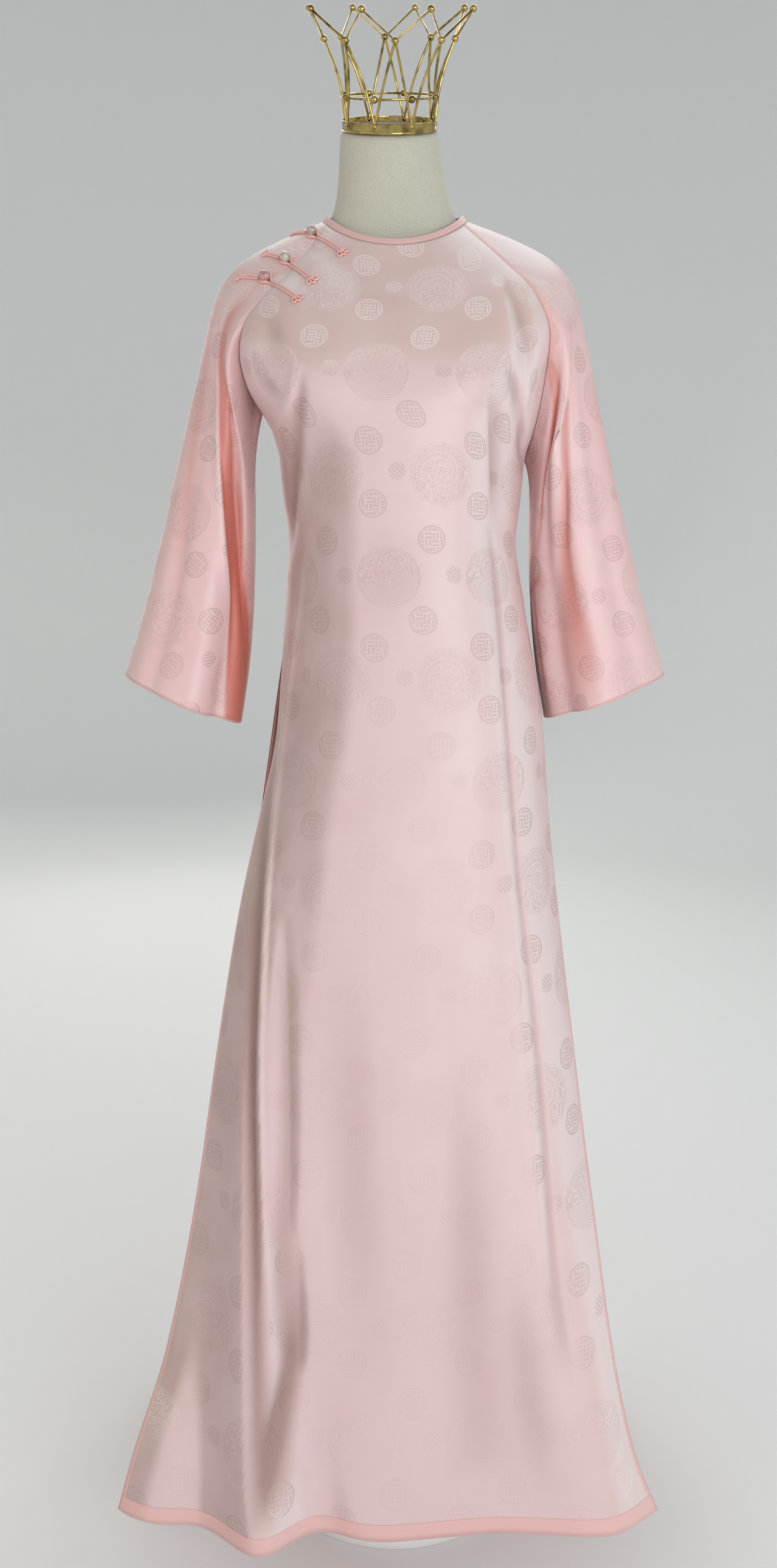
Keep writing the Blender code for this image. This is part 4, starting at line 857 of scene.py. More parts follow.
def tube(path, wide, tall, sides, up, closed=False):
    """Rings round a path: ovals `wide` across it and `tall` along each point's `up`."""
    along = unit(differences(path, 0, closed))
    side = unit(np.cross(along, up))
    top = np.cross(side, along)
    turn = circle(sides)[:, None]
    wide, tall = (np.broadcast_to(size, len(path))[:, None, None] for size in (wide, tall))
    return path[:, None] + side[:, None] * wide * np.cos(turn) + top[:, None] * tall * np.sin(turn)


def ball(middle, radius, around, up):
    """Points and faces of a ball: rings from one pole to the other with a point at each."""
    rise = np.pi * np.arange(1, up) / up
    rings = turned(np.stack([radius * np.sin(rise), -radius * np.cos(rise)], axis=1), around)
    vertices, faces = stacked(rings)
    vertices[-2], vertices[-1] = (0, 0, -radius), (0, 0, radius)
    return vertices + np.asarray(middle), faces


def together(parts):
    """One list of points and one of faces from several."""
    vertices, faces, start = [], [], 0
    for points, sides in parts:
        vertices.append(points)
        faces += [[start + i for i in face] for face in sides]
        start += len(points)
    return np.concatenate(vertices), faces


# ---- finishes


def linear(code, alpha=1.0):
    """A colour for Blender from its sRGB hex code."""
    parts = [int(code[i:i + 2], 16) / 255 for i in (1, 3, 5)]
    return (*(p / 12.92 if p <= 0.04045 else ((p + 0.055) / 1.055) ** 2.4 for p in parts), alpha)


def add(tree, kind, inputs=(), **settings):
    """Adds a node, sets what it's told and fills its inputs with numbers or other nodes' outputs."""
    made = tree.nodes.new(kind)
    for name, value in settings.items():
        setattr(made, name, value)
    for key, value in dict(inputs).items():
        if isinstance(value, bpy.types.NodeSocket):
            tree.links.new(value, made.inputs[key])
        else:
            made.inputs[key].default_value = value
    return made


class Flow:
    """A number that a finish's nodes work out: sums and comparisons with it add math nodes."""

    def __init__(self, tree, socket):
        self.tree, self.socket = tree, socket

    def math(self, operation, *others, held=False):
        """One math node on this number and others, held between 0 and 1 if told."""
        inputs = {i: getattr(v, "socket", v) for i, v in enumerate((self, *others))}
        made = add(self.tree, "ShaderNodeMath", inputs, operation=operation, use_clamp=held)
        return Flow(self.tree, made.outputs[0])

    def __add__(self, other):
        return self.math("ADD", other)

    def __sub__(self, other):
        return self.math("SUBTRACT", other)

    def __mul__(self, other):
        return self.math("MULTIPLY", other)

    def __abs__(self):
        return self.math("ABSOLUTE")

    def over(self, other):
        """The greater of the two."""
        return self.math("MAXIMUM", other)

    def line(self, slope, level):
        """slope v + level, held between 0 and 1."""
        return self.math("MULTIPLY_ADD", slope, level, held=True)


class Finish:
    """A material under way, which reads Object coordinates or a place that the piece's points hold."""

    def __init__(self, name, place=None, **sockets):
        self.material = bpy.data.materials.new(name)
        self.material.use_nodes = True
        self.tree = self.material.node_tree
        self.shader = self.tree.nodes["Principled BSDF"]
        for key, value in sockets.items():
            self.shader.inputs[key.replace("_", " ")].default_value = value
        if place:
            self.place = add(self.tree, "ShaderNodeAttribute", attribute_name=place).outputs["Vector"]
        else:
            self.place = add(self.tree, "ShaderNodeTexCoord").outputs["Object"]

    def parts(self, socket):
        """A vector's or a colour's three numbers."""
        made = add(self.tree, "ShaderNodeSeparateXYZ", {0: socket}).outputs
        return [Flow(self.tree, part) for part in made]

    def reads(self, name):
        """The three numbers that the piece's points hold under a name."""
        return self.parts(add(self.tree, "ShaderNodeAttribute", attribute_name=name).outputs["Vector"])

    def noise(self, scale, detail, roughness=0.5, at=None, colour=False):
        """A noise's level, or its three levels, at a scale that is one number or three."""
        spot = at or self.place
        if isinstance(scale, tuple):
            stretched = {0: spot, 1: scale}
            spot = add(self.tree, "ShaderNodeVectorMath", stretched, operation="MULTIPLY").outputs[0]
            scale = 1.0
        fields = {"Vector": spot, "Scale": scale, "Detail": detail, "Roughness": roughness}
        made = add(self.tree, "ShaderNodeTexNoise", fields).outputs
        return self.parts(made["Color"]) if colour else Flow(self.tree, made["Fac"])

    def coloured(self, ground, *layers):
        """Lays colours over the ground, each by its own share from 0 to 1."""
        colour = linear(ground)
        for share, code in layers:
            mixed = {0: share.socket, 6: colour, 7: linear(code)}
            colour = add(self.tree, "ShaderNodeMix", mixed, data_type="RGBA").outputs[2]
        self.tree.links.new(colour, self.shader.inputs["Base Color"])

    def surfaced(self, rough, height=None, strength=0.0, depth=0.0):
        """Gives the surface its roughness and, with a height, its bump."""
        self.tree.links.new(rough.socket, self.shader.inputs["Roughness"])
        if height:
            fields = {"Strength": strength, "Distance": depth, "Height": height.socket}
            bump = add(self.tree, "ShaderNodeBump", fields)
            self.tree.links.new(bump.outputs["Normal"], self.shader.inputs["Normal"])


# ---- the woven figure, in mm of cloth


def inside(distance, reach):
    """1 where a distance is under `reach`, 0 past it, softened over a thread or two."""
    return distance.line(-1 / THREADS, reach / THREADS + 0.5)


def ring_of(distance, radius, half):
    """1 within `half` of a circle of that radius."""
    return inside(abs(distance - radius), half)


def motif(u, v, centres, reach):
    """About the nearest centre of the repeat: x, y, how far and which way, and 1 where the motif stands."""
    found = None
    for centre in centres:
        near = [(at - mid).math("WRAP", half, -half) for at, mid, half in zip((u, v), centre, HALF_REPEAT)]
        here = (near[0] * near[0] + near[1] * near[1]).math("SQRT").math("LESS_THAN", reach)
        near = [near[0] * here, near[1] * here, here]
        found = [a + b for a, b in zip(found, near)] if found else near
    x, y, here = found
    return x, y, (x * x + y * y).math("SQRT"), y.math("ARCTAN2", x), here


def waves(turn, count, lift, swing):
    """lift + swing cos(count turn)."""
    return (turn * float(count)).math("COSINE") * swing + lift


def striped(value, rate, slope, level):
    """Stripes over a number: slope |fract(rate v) - 1/2| + level, held between 0 and 1."""
    return abs((value * rate).math("FRACT") - 0.5).line(slope, level)


def winding(satin, x, y, scales, shift, half):
    """The winding level lines of a smooth noise over a motif's own place."""
    spot = {0: (x * scales[0]).socket, 1: (y * scales[1]).socket, 2: shift}
    spot = add(satin.tree, "ShaderNodeCombineXYZ", spot).outputs[0]
    return striped(satin.noise(1.0, 0.6, at=spot), 9.0, -6.0, 6.0 * half + 0.5)


def woven_figure(satin, u, v):
    """The damask's whole figure from 0 to 1, at a place on the cloth in mm.

    Two kinds of large roundel stand in a half-drop repeat, with middle ones of frets and small ones
    of diagonal bars between them.
    """
    x, y, far, turn, here = motif(u, v, (CLOUD_AT,), 40.0)
    edge = far - waves(turn, 17, 32.8, 1.0)
    beside = far - (turn * 3.6 + 14.0)
    body = ring_of(beside, 0.0, 1.9).math("MULTIPLY", waves(turn, 40, 0.9, 0.8), held=True)
    scrolls = winding(satin, x, y, (0.105, 0.105), 0.0, 0.24) - ring_of(beside, 0.0, 3.2)
    clouds = (scrolls.over(body) * inside(edge, -1.7)).over(ring_of(edge, 0.0, 0.4)) * here

    x, y, far, turn, here = motif(u, v, (LEAF_AT,), 40.0)
    edge = far - waves(turn, 23, 32.2, 0.6)
    lower = (y * -0.25 + waves(turn, 3, 0.0, 2.0)).line(0.5, -0.5)
    feather = striped(x * 0.45 + y - x * x * 0.022, 1 / FEATHER_PITCH, -4.0, 1.3) * lower
    plumes = winding(satin, x, y, (0.13, 0.085), 120.0, 0.23) * lower.line(-1.0, 1.0)
    rim = inside(abs(edge) - waves(turn, 2, 0.6, 0.5), 0.0)
    leaves = (plumes.over(feather) * inside(edge, -1.2)).over(rim) * here

    x, y, far, turn, here = motif(u, v, FRETS_AT, 16.0)
    across, upward = abs(x), abs(y)
    square = across.over(upward)
    crossed = abs((x * y).math("GREATER_THAN", 0.0) - square.math("GREATER_THAN", FRET_HALF))
    maze = striped((across - upward) * crossed + upward, 1 / FRET_PITCH, -4.6, 1.8)
    maze = (maze - ring_of(square, FRET_HALF, 0.55)).math("MULTIPLY", inside(far, 12.1), held=True)
    frets = ring_of(far, 13.9, 0.9).over(maze) * here

    x, y, far, turn, here = motif(u, v, BARS_AT, 10.0)
    bars = striped(x + y, 1 / BAR_PITCH, -4.6, 1.8) * inside(far, 9.0) * here
    return (clouds.over(leaves) * LARGE_FAINTER).over(frets).over(bars)


# ---- the object's own finishes


SATIN_SHEEN = {"Sheen_Weight": 0.10, "Sheen_Roughness": 0.35, "Sheen_Tint": linear("#FFF1EE")}


def damask_satin(name, ground, painted_dull_colour, painted_hollow_shade):
    """Rose silk damask: a warp-faced satin ground with its figure in the duller weft face.

    The satin's long floats give a soft gloss along ridges, with a painted highlight on them; the figure
    scatters more, and is painted paler where the cloth leans back and greyer where it hangs. The ground
    carries painted reflection and shade by how it turns, its creases painted shade, and its wrong side is
    painted lighter for light shining through the silk. Hems and slits show doubled cloth, pinker.
    """
    satin = Finish(name, "cut", IOR=1.6, **SATIN_SHEEN)
    slub = satin.noise((0.07, 1.1, 0.0), 3.0, 0.65)
    mottle = satin.noise((0.016, 0.010, 0.0), 4.0)
    sway = satin.noise((0.045, 0.045, 0.0), 2.0, colour=True)
    figure = woven_figure(satin, *(at + shift - 0.5 for at, shift in zip(satin.reads("cut")[:2], sway)))
    # painted light on the figure, painted shade in creases and a painted highlight on ridges
    light, crease_shade, ridge_highlight = satin.reads("painted_shading")
    # painted reflection and shade on the ground by how it turns: dull, silver and dusky
    dull, silver, dusk = satin.reads("lean")
    edge, up, wrong = satin.reads("trim")
    doubled = inside(up, 0.0).over(inside(edge, -0.5)) * 0.75
    wrong = wrong * 0.60
    satin.coloured(
        ground,
        # painted shade where the cloth leans back, a painted silver highlight, and painted dusky shade
        (dull, painted_dull_colour),
        (silver * 0.75, "#F1EBEA"),
        (dusk, "#9C8074"),
        (mottle.line(2.2, -0.75) * 0.30, "#F3DEDB"),
        (slub.line(1.6, -0.55) * 0.10, "#C99A96"),
        # the figure painted lighter and darker by the cloth's lean: painted light and shade
        (light.line(1.0, 0.0) * figure * 0.55, "#F7ECE8"),
        (light.line(-1.0, 0.0) * figure * 0.44, "#A88A84"),
        # painted highlight along the crease ridges
        (ridge_highlight * 0.22, "#FBEFEC"),
        # painted shade in crease troughs and in folds facing the body
        (crease_shade * 0.72, painted_hollow_shade),
        (doubled, "#EDB9B4"),
        (ring_of(up, 0.3, 0.5) * 0.35, "#B97F7A"),
        (inside(up, 1.2 - HEM_SHOWN).math("MULTIPLY", slub, held=True) * 0.5, "#F5E4E1"),
        # the wrong side: rougher, and painted lighter and pinker for light shining through the thin silk
        (wrong, "#EFB9B1"),
    )
    rough = figure * 0.12 + 0.40 + slub * 0.08 + wrong * 0.25
    satin.surfaced(rough, slub + doubled * 3.0, 0.35, 0.00018)
    return satin.material


def doubled_satin():
    """The same satin folded double at hems, cuffs and neck, so its pink is deeper; a plain soft gloss."""
    satin = Finish("doubled_rose_satin_folded", IOR=1.55, **SATIN_SHEEN)
    slub, mottle = satin.noise((160.0, 160.0, 900.0), 3.0), satin.noise(22.0, 3.0)
    threads = slub.line(1.8, -0.65) * 0.25
    satin.coloured("#E9BDB7", (threads, "#D5A39D"), (mottle.line(2.0, -0.7) * 0.4, "#F0CFCA"))
    satin.surfaced(slub * 0.14 + 0.36, slub, 0.35, 0.00015)
    return satin.material


def bias_cord():
    """Frog cord: bias strips of the satin sewn into tubes, so fine threads cross it and it gleams."""
    cord = Finish("satin_cord_bias_sewn", IOR=1.52, **{**SATIN_SHEEN, "Sheen_Weight": 0.25})
    wave = {"Vector": cord.place, "Scale": 420.0, "Distortion": 1.5, "Detail": 2.0}
    wave = add(cord.tree, "ShaderNodeTexWave", wave, bands_direction="DIAGONAL")
    threads, mottle = Flow(cord.tree, wave.outputs["Fac"]), cord.noise(240.0, 2.0)
    cord.coloured("#F4B6AE", (threads * 0.22, "#D68F86"), (mottle.line(2.4, -0.8) * 0.5, "#FAD6CF"))
    cord.surfaced(threads * 0.10 + 0.28, threads, 0.4, 0.00012)
    return cord.material


def polished_quartz(name, body, cloud):
    """Quartz beads, tumbled and polished: cloudy, letting some light in, with a glassy gleam."""
    quartz = Finish(
        name, Roughness=0.07, IOR=1.54, Transmission_Weight=0.25, Coat_Weight=0.5, Coat_Roughness=0.04,
    )
    quartz.coloured(body, (quartz.noise(260.0, 4.0).line(3.0, -1.1), cloud))
    return quartz.material


def form_linen(name, ground, fleck):
    """Cream linen-cotton stretched over the form: a matt plain weave with short darker slubs."""
    linen = Finish(name, Sheen_Weight=0.12, Sheen_Roughness=0.6, IOR=1.5)
    slub = linen.noise((1500.0, 1500.0, 260.0), 2.0).over(linen.noise((240.0, 240.0, 1500.0), 2.0))
    patch = linen.noise(14.0, 4.0).line(2.0, -0.7) * 0.35
    linen.coloured(ground, (patch, "#D6D5C4"), (slub.line(5.0, -2.7) * 0.32, fleck))
    linen.surfaced(slub * 0.10 + 0.78, slub, 0.6, 0.0002)
    return linen.material


def polished_gold():
    """Gold-plated brass wire, polished: clear reflections, with duller and darker patches scattered over its
    colour.
    """
    gold = Finish("polished_gold_wire_drawn", Metallic=1.0)
    dull, dark = gold.noise(180.0, 3.0).line(2.4, -0.9), gold.noise(75.0, 1.0).line(5.0, -2.3)
    gold.coloured("#C9B272", (dull * 0.4, "#8F7838"), (dark * 0.60, "#3A2E14"))
    gold.surfaced(dull * 0.08 + 0.05)
    return gold.material


def coated_steel():
    """Steel tube and plate, powder-coated white: a faint orange peel under a soft gloss."""
    steel = Finish("white_coated_steel_powder", IOR=1.5)
    dusty = steel.noise(18.0, 4.0).line(2.2, -0.9)
    steel.coloured("#E6E5E1", (dusty * 0.25, "#CFCCC4"))
    steel.surfaced(dusty * 0.12 + 0.34, steel.noise(700.0, 2.0), 0.25, 0.0001)
    return steel.material


def backdrop_paper():
    """Seamless studio paper: matt and pale, with a hardly visible fibre."""
    paper = Finish("backdrop_paper_matt", Roughness=0.95)
    paper.coloured("#EFF0EF", (paper.noise(30.0, 4.0) * 0.08, "#DEDFDD"))
    return paper.material


# ---- the garment


def stations_of_rows():
    """Where a panel's rows lie: skirt, waist and yoke in their own even steps."""
    skirt = np.linspace(0, 1, SKIRT_ROWS + 1)
    waist = np.linspace(1, 2, WAIST_ROWS + 1)[1:]
    yoke = np.linspace(2, 3, YOKE_ROWS + 1)[1:]
    return np.concatenate([skirt, waist, yoke])


def panel_cut(grid, offset):
    """A panel's place on the flat cloth in mm: out from its middle, up from its hem, and its width."""
    u = growing(lengths(grid, 1), 1)
    width = u[:, -1:] / MM
    v = run_of(grid[:, grid.shape[1] // 2])[:, None] + np.zeros_like(u)
    return u / MM - width / 2 + offset[0], v / MM + offset[1], width, v / MM


def sleeve_places(grid):
    """A sleeve's points: degrees round it from its outer line, mm down from its seam, up from its cuff."""
    steps = np.linalg.norm(np.roll(grid, -1, axis=1) - grid, axis=2)
    about = growing(steps[:, :-1], 1) * (360 / steps.sum(axis=1, keepdims=True))
    down = growing(lengths(grid))
    return np.where(about > 180, about - 360, about), down / MM, (down[-1:] - down) / MM


def sleeve_cut(grid, offset):
    """A sleeve's place on the flat cloth in mm: across its hang from its outer line, and along it.

    Steps round the sleeve count without their share along the hang, and the whole is turned to the
    grain: (u cos t + v sin t, v cos t - u sin t).
    """
    hang = unit(grid[-1].mean(axis=0) - grid[0].mean(axis=0))
    step = np.roll(grid, -1, axis=1) - grid
    step = np.linalg.norm(step - (step @ hang)[..., None] * hang, axis=2)
    u = growing(step[:, :-1], 1)
    round_it = step.sum(axis=1, keepdims=True)
    u = np.where(u > round_it / 2, u - round_it, u) / MM
    v = (grid - grid[0].mean(axis=0)) @ hang / MM
    across, along, lean = offset
    cosine, sine = math.cos(math.radians(lean)), math.sin(math.radians(lean))
    return u * cosine + v * sine + across, v * cosine - u * sine + along


def shade_of(about, down, rows):
    """How far the painted shade of a fold's body-facing side covers each point, from its table."""
    rows = np.array(rows).T
    start, end, soft, share = (np.interp(down * MM, rows[0], row) for row in rows[1:])
    return share * ease((about - start) / soft) * ease((end - about) / 8)


def painted_figure_light(normal, at):
    """How the woven figure shows, from 1 lighter than the ground to -1 darker.

    It is painted lighter where the cloth leans back under the room's light, darker where it hangs, and faint
    where it
    hangs straight toward the light: painted light and shade for how the weft face catches it.
    """
    side = np.abs(normal[..., 0])
    lighter = ramp(normal[..., 2], *FIGURE_LEAN)
    darker = FIGURE_STRAIGHT + (1 - FIGURE_STRAIGHT) * ramp(side, *FIGURE_SIDE)
    low = 1 - FIGURE_FAINTER * ramp(-at[..., 2], *FIGURE_FAINT) * (1 - ramp(side, *FIGURE_FAINT_SIDE))
    return lighter - (1 - lighter) * darker * low


def painted_satin_sheen(normal, height, sheen):
    """How the satin's ground shows: (dull, silver, dusk), by how it turns from hanging straight ahead.

    All three are painted into its colour: painted shade where it leans back a little, as if its floats faced
    a dim part of the room, and a painted silver highlight where it lies nearly flat, as over the shoulders,
    as if they faced the bright ceiling. Turned a third of the way to the wearer's left it gets the painted
    silver highlight of a bright wall, and to the right, below the bust, the painted dusky shade of a dark
    one, both by the share `sheen`.
    """
    up, side = normal[..., 2], normal[..., 0]
    silver = ramp(up, *SILVER_LEAN)
    beside = ramp(side, *SILVER_SIDE) * (1 - ramp(side, *SILVER_SIDE_END)) * (normal[..., 1] < 0)
    dusk = sheen * ramp(-side, *DUSK_SIDE) * ramp(-height, *DUSK_TOP)
    return ramp(up, *DULL_LEAN) * (1 - silver), np.maximum(silver, sheen * beside), dusk


def looks(grid, bent, rise, crease_shade, cut, trim, sheen):
    """What the satin's finish reads at each point, three numbers a name: its cut and trim, then the painted
    light, shade and highlight, and the painted reflection and shade by how it turns.
    """
    painted_shading = (painted_figure_light(bent, grid), crease_shade, np.clip(rise / DEEP, 0, 1))
    lean = painted_satin_sheen(bent, grid[..., 2], sheen)
    return {"cut": (*cut, 0.0), "trim": (*trim, 0.0), "painted_shading": painted_shading, "lean": lean}


def cloth_piece(name, node, grid, normal, around, flip, finish_made, slot, notes=None):
    """A thin wall of cloth: the grid is its right side, and its wrong side lies SILK behind it."""
    rows, columns = grid.shape[:2]
    vertices = np.concatenate([grid.reshape(-1, 3), (grid - normal * SILK).reshape(-1, 3)])
    faces = wall_faces(rows, columns, around, flip)
    piece = keep(name, node, vertices, faces, finish_made, slot, turn_out=False)
    for key, fields in (notes or {}).items():
        held = np.stack([np.broadcast_to(f, (rows, columns)) for f in fields], axis=-1).reshape(-1, 3)
        both = np.concatenate([held, held])
        if key == "trim":
            both[rows * columns:, 2] = 1.0
        told = piece.data.attributes.new(key, "FLOAT_VECTOR", "POINT")
        told.data.foreach_set("vector", both.astype(np.float32).ravel())
    return piece


def turning(name, node, grid, normal, around, flip, finishes):
    """A turned-in edge of doubled cloth."""
    return cloth_piece(name, node, grid, normal, around, flip, finishes["band"], "doubled_rose_satin")


def calmed(up, share):
    """How strong creases are at a height over an edge in mm: `share` of them reach the edge itself."""
    return share + (1 - share) * ease(up / HEM_CALM)


def creased(grid, normal, rise, around):
    """The grid lifted along its normals, and its new normals."""
    grid = grid + normal * rise[..., None]
    bent = outward(grid, around)
    return grid, bent * np.sign((bent * normal).sum(axis=-1, keepdims=True))


def build_panel(side, grid, normal, creases, offset, finishes):
    """A panel with its creases, its turned-up hem and the narrow turnings down its slits."""
    stations = stations_of_rows()[:, None]
    u, v, width, up = panel_cut(grid, offset)
    edge = width / 2 - np.abs(u - offset[0])
    free = 1 - ramp(stations, *SEWN_FROM) * (1 - ease(edge / SEAM_CALM))
    free = free * ease((3.0 - stations) / NECK_CALM) * calmed(up, HEM_CREASED)
    rise = crease_rise(grid[..., 0], grid[..., 2], creases) * free
    grid, bent = creased(grid, normal, rise, False)
    trim = (np.where(stations <= 1.0, edge, FAR) - SLIT_TURNED / MM, up - HEM_SHOWN)
    # the depth of each trough sets how much painted shade it gets
    notes = looks(grid, bent, rise, np.clip(-rise / DEEP, 0, 1), (u, v), trim, SIDE_SHEEN)
    flip = side == "back"
    panel = cloth_piece(
        f"{side}_panel_satin", f"{side}_panel", grid, bent, False, flip, finishes["satin"],
        "rose_damask_satin", notes,
    )
    rows = int(np.searchsorted(up[:, 0], HEM_TURNED / MM)) + 1
    behind = grid - bent * (SILK + GAP)
    low, facing = behind[:rows, 1:-1], bent[:rows, 1:-1]
    trims = [turning(f"{side}_hem_turned", f"{side}_hem", low, facing, False, flip, finishes)]
    for hand, columns in (("right", (0, 1)), ("left", (-2, -1))):
        outer, inner = (behind[:SKIRT_ROWS, column] for column in columns)
        along = unit(outer - inner)
        edge_line, toward = (outer, -along) if hand == "right" else (inner, along)
        lines = [edge_line + toward * SLIT_TURNED * share for share in TURNING_LINES]
        sheet = np.stack(lines if hand == "right" else lines[::-1], axis=1)
        facing = np.repeat(bent[:SKIRT_ROWS, columns[0]][:, None], len(lines), axis=1)
        trims.append(turning(
            f"slit_turning_{side}_{hand}", f"slit_edge_{side}_{hand}", sheet - facing * SILK, facing,
            False, flip, finishes,
        ))
    return panel, trims, grid, bent


def build_sleeve(hand, grid, normal, creases, shade, offset, finishes):
    """A sleeve with its creases and the turning inside its cuff."""
    about, down, up = sleeve_places(grid)
    cut = sleeve_cut(grid, offset)
    rise = crease_rise(about * CREASE_DEGREE, down * MM, creases, CREASE_DEGREE)
    rise *= ramp(down, *RAGLAN_CALM) * calmed(up, CUFF_CREASED)
    grid, bent = creased(grid, normal, rise, True)
    # painted shade: crease troughs, and the table of folds that face the body
    crease_shade = np.maximum(np.clip(-rise / DEEP, 0, 1), shade_of(about, down, shade))
    start, end, shown = RAGLAN_SHOWN
    doubled = ramp(about, start, 12) * ease((end - about) / 12) * (hand == "left")
    trim = (down - shown + FAR * (1 - doubled), up - CUFF_SHOWN)
    notes = looks(grid, bent, rise, crease_shade, cut, trim, 0.0)
    flip = hand == "right"
    sleeve = cloth_piece(
        f"sleeve_{hand}_satin", f"sleeve_{hand}", grid, bent, True, flip, finishes["sleeve"],
        "rose_damask_satin", notes,
    )
    behind = (grid - bent * (SILK + GAP))[-CUFF_ROWS:]
    cuff = turning(f"cuff_{hand}_turned", f"cuff_{hand}", behind, bent[-CUFF_ROWS:], True, flip, finishes)
    return sleeve, [cuff], grid, bent


def band_frame(degrees):
    """The neck band's foot by degrees from the front, and unit arrows up across it and out of it."""
    low, high = neck_loop(degrees, NECK_BAND_WIDTH), neck_loop(degrees)
    across = unit(high - low)
    beside = neck_loop(degrees + 0.5, NECK_BAND_WIDTH) - neck_loop(degrees - 0.5, NECK_BAND_WIDTH)
    return low, across, unit(np.cross(beside, across))


def build_neck_band(finishes):
    """The facing round the neck: a flat strip folded over a soft edge at its top, its foot sewn down.

    Its section is a long oval: across goes as (1 - cos t) / 2 and out as a fourth root of sin t.
    """
    degrees = np.linspace(0, 360, 300, endpoint=False)
    low, across, out = band_frame(degrees)
    width = np.linalg.norm(neck_loop(degrees) - low, axis=1, keepdims=True)
    turn = np.linspace(0, 2 * math.pi, 20, endpoint=False)
    reach = (0.5 - 0.5 * np.cos(turn))[:, None, None]
    puff = (np.sign(np.sin(turn)) * np.abs(np.sin(turn)) ** 0.25)[:, None, None]
    rings = low + across * (GAP + reach * (width - GAP)) + out * puff * BAND_THICK
    return keep("neck_band_satin", "neck_band", *looped(rings), finishes["band"], "doubled_rose_satin")


# ---- the frogs


def petals(reach, sign):
    """Three petals of cord at the end of a frog, in its own plane, each out to its tip and back.

    A petal stands on a line that leans its own way; its half width there is PETAL_HALF times
    sin(pi s^1.6)^0.6, s going from its root to its tip. The knot half's are shorter and closer.
    """
    share = 1.0 if sign > 0 else KNOT_SHARE
    out = np.sin(np.linspace(0, math.pi / 2, 9))
    half = PETAL_HALF * share * np.sin(math.pi * np.clip(out, 0, 0.999) ** 1.6) ** 0.6
    along = PETAL_ROOT + PETAL_LONG * share * out
    a = np.tile(np.concatenate([along, along[-2:0:-1]]), 3)
    b = np.tile(np.concatenate([half, -half[-2:0:-1]]), 3)
    lean = np.radians(np.repeat(PETAL_LEANS, len(a) // 3)) * share
    x = a * np.cos(lean) - b * np.sin(lean) - PETAL_LONG * share - PETAL_ROOT
    return np.stack([sign * (reach + x), a * np.sin(lean) + b * np.cos(lean)], axis=1)


def frog_paths(knot_reach, loop_reach):
    """The two cords of a frog in its own plane: the knot half's open path and the loop half's ring."""
    strand = FROG_CORD + GAP / 4

    def there_and_back(bar, end):
        """A bar's two strands with the petals between them."""
        out = np.stack([bar, np.full(len(bar), strand)], axis=1)
        return [out, end, out[::-1] * (1, -1)]

    bar = np.linspace(-BEAD_RADIUS - KNOT_OFF, PETAL_LONG * KNOT_SHARE - knot_reach, 8)
    knot = np.concatenate(there_and_back(bar, petals(knot_reach, -1)))
    bar = np.linspace(BEAD_RADIUS + EYE_OFF, loop_reach - PETAL_LONG - PETAL_ROOT, 10)
    round_bead = np.radians(np.linspace(-EYE_OPEN, EYE_OPEN - 360, 20))
    eye = (BEAD_RADIUS + FROG_CORD / 5) * np.stack([np.cos(round_bead), np.sin(round_bead)], axis=1)
    return knot, np.concatenate([*there_and_back(bar, petals(loop_reach, 1)), eye])


def build_frogs(cloth, finishes):
    """Three frogs laid on the cloth under them, each a knot half, a loop half and a bead."""
    for number, (x, height, *halves) in enumerate(FROGS, start=1):
        hit, normal = cloth.ray_cast(Vector((x, -1, height)), Vector((0, 1, 0)))[:2]
        normal = ((normal if normal.y < 0 else -normal) + Vector((0, -0.4, 0.1))).normalized()
        paths = frog_paths(halves[1], halves[3])
        for part, path, slant in (("knot", paths[0], halves[0]), ("loop", paths[1], halves[2])):
            closed, lean = part == "loop", math.radians(slant)
            forward = (normal.z * math.sin(lean) - normal.x * math.cos(lean)) / normal.y
            along = Vector((math.cos(lean), forward, -math.sin(lean))).normalized()
            across = normal.cross(along)
            spots, ups = [], []
            for a, b in path:
                flat = hit + along * float(a) + across * float(b)
                spot, face = cloth.ray_cast(flat + normal * 0.03, -normal, 0.05)[:2]
                if spot is None:
                    spot, face = cloth.find_nearest(flat + normal * 0.01)[:2]
                up = (face if face.dot(normal) > 0 else -face).lerp(normal, 0.5).normalized()
                collar = EYE_TALL if closed and a < BEAD_RADIUS else 1.0
                spots.append(spot + up * (FROG_CORD * collar + FROG_LIFT / 2))
                ups.append((*up, collar))
            line = rounded(np.column_stack([spots, ups]), 1, closed)
            rings = tube(line[:, :3], FROG_CORD, FROG_CORD * line[:, 6], 12, line[:, 3:6], closed)
            shape = looped(rings) if closed else stacked(rings)
            node = f"frog_{number}_{part}"
            keep(f"{node}_satin", node, *shape, finishes["cord"], "satin_cord")
        bead = ball(hit + normal * (BEAD_RADIUS + FROG_LIFT), BEAD_RADIUS, 40, 24)
        stone = finishes[f"bead_{number}"]
        keep(f"frog_{number}_bead_quartz", f"frog_{number}_bead", *bead, stone, "rose_quartz")


# ---- the dress form and its stand


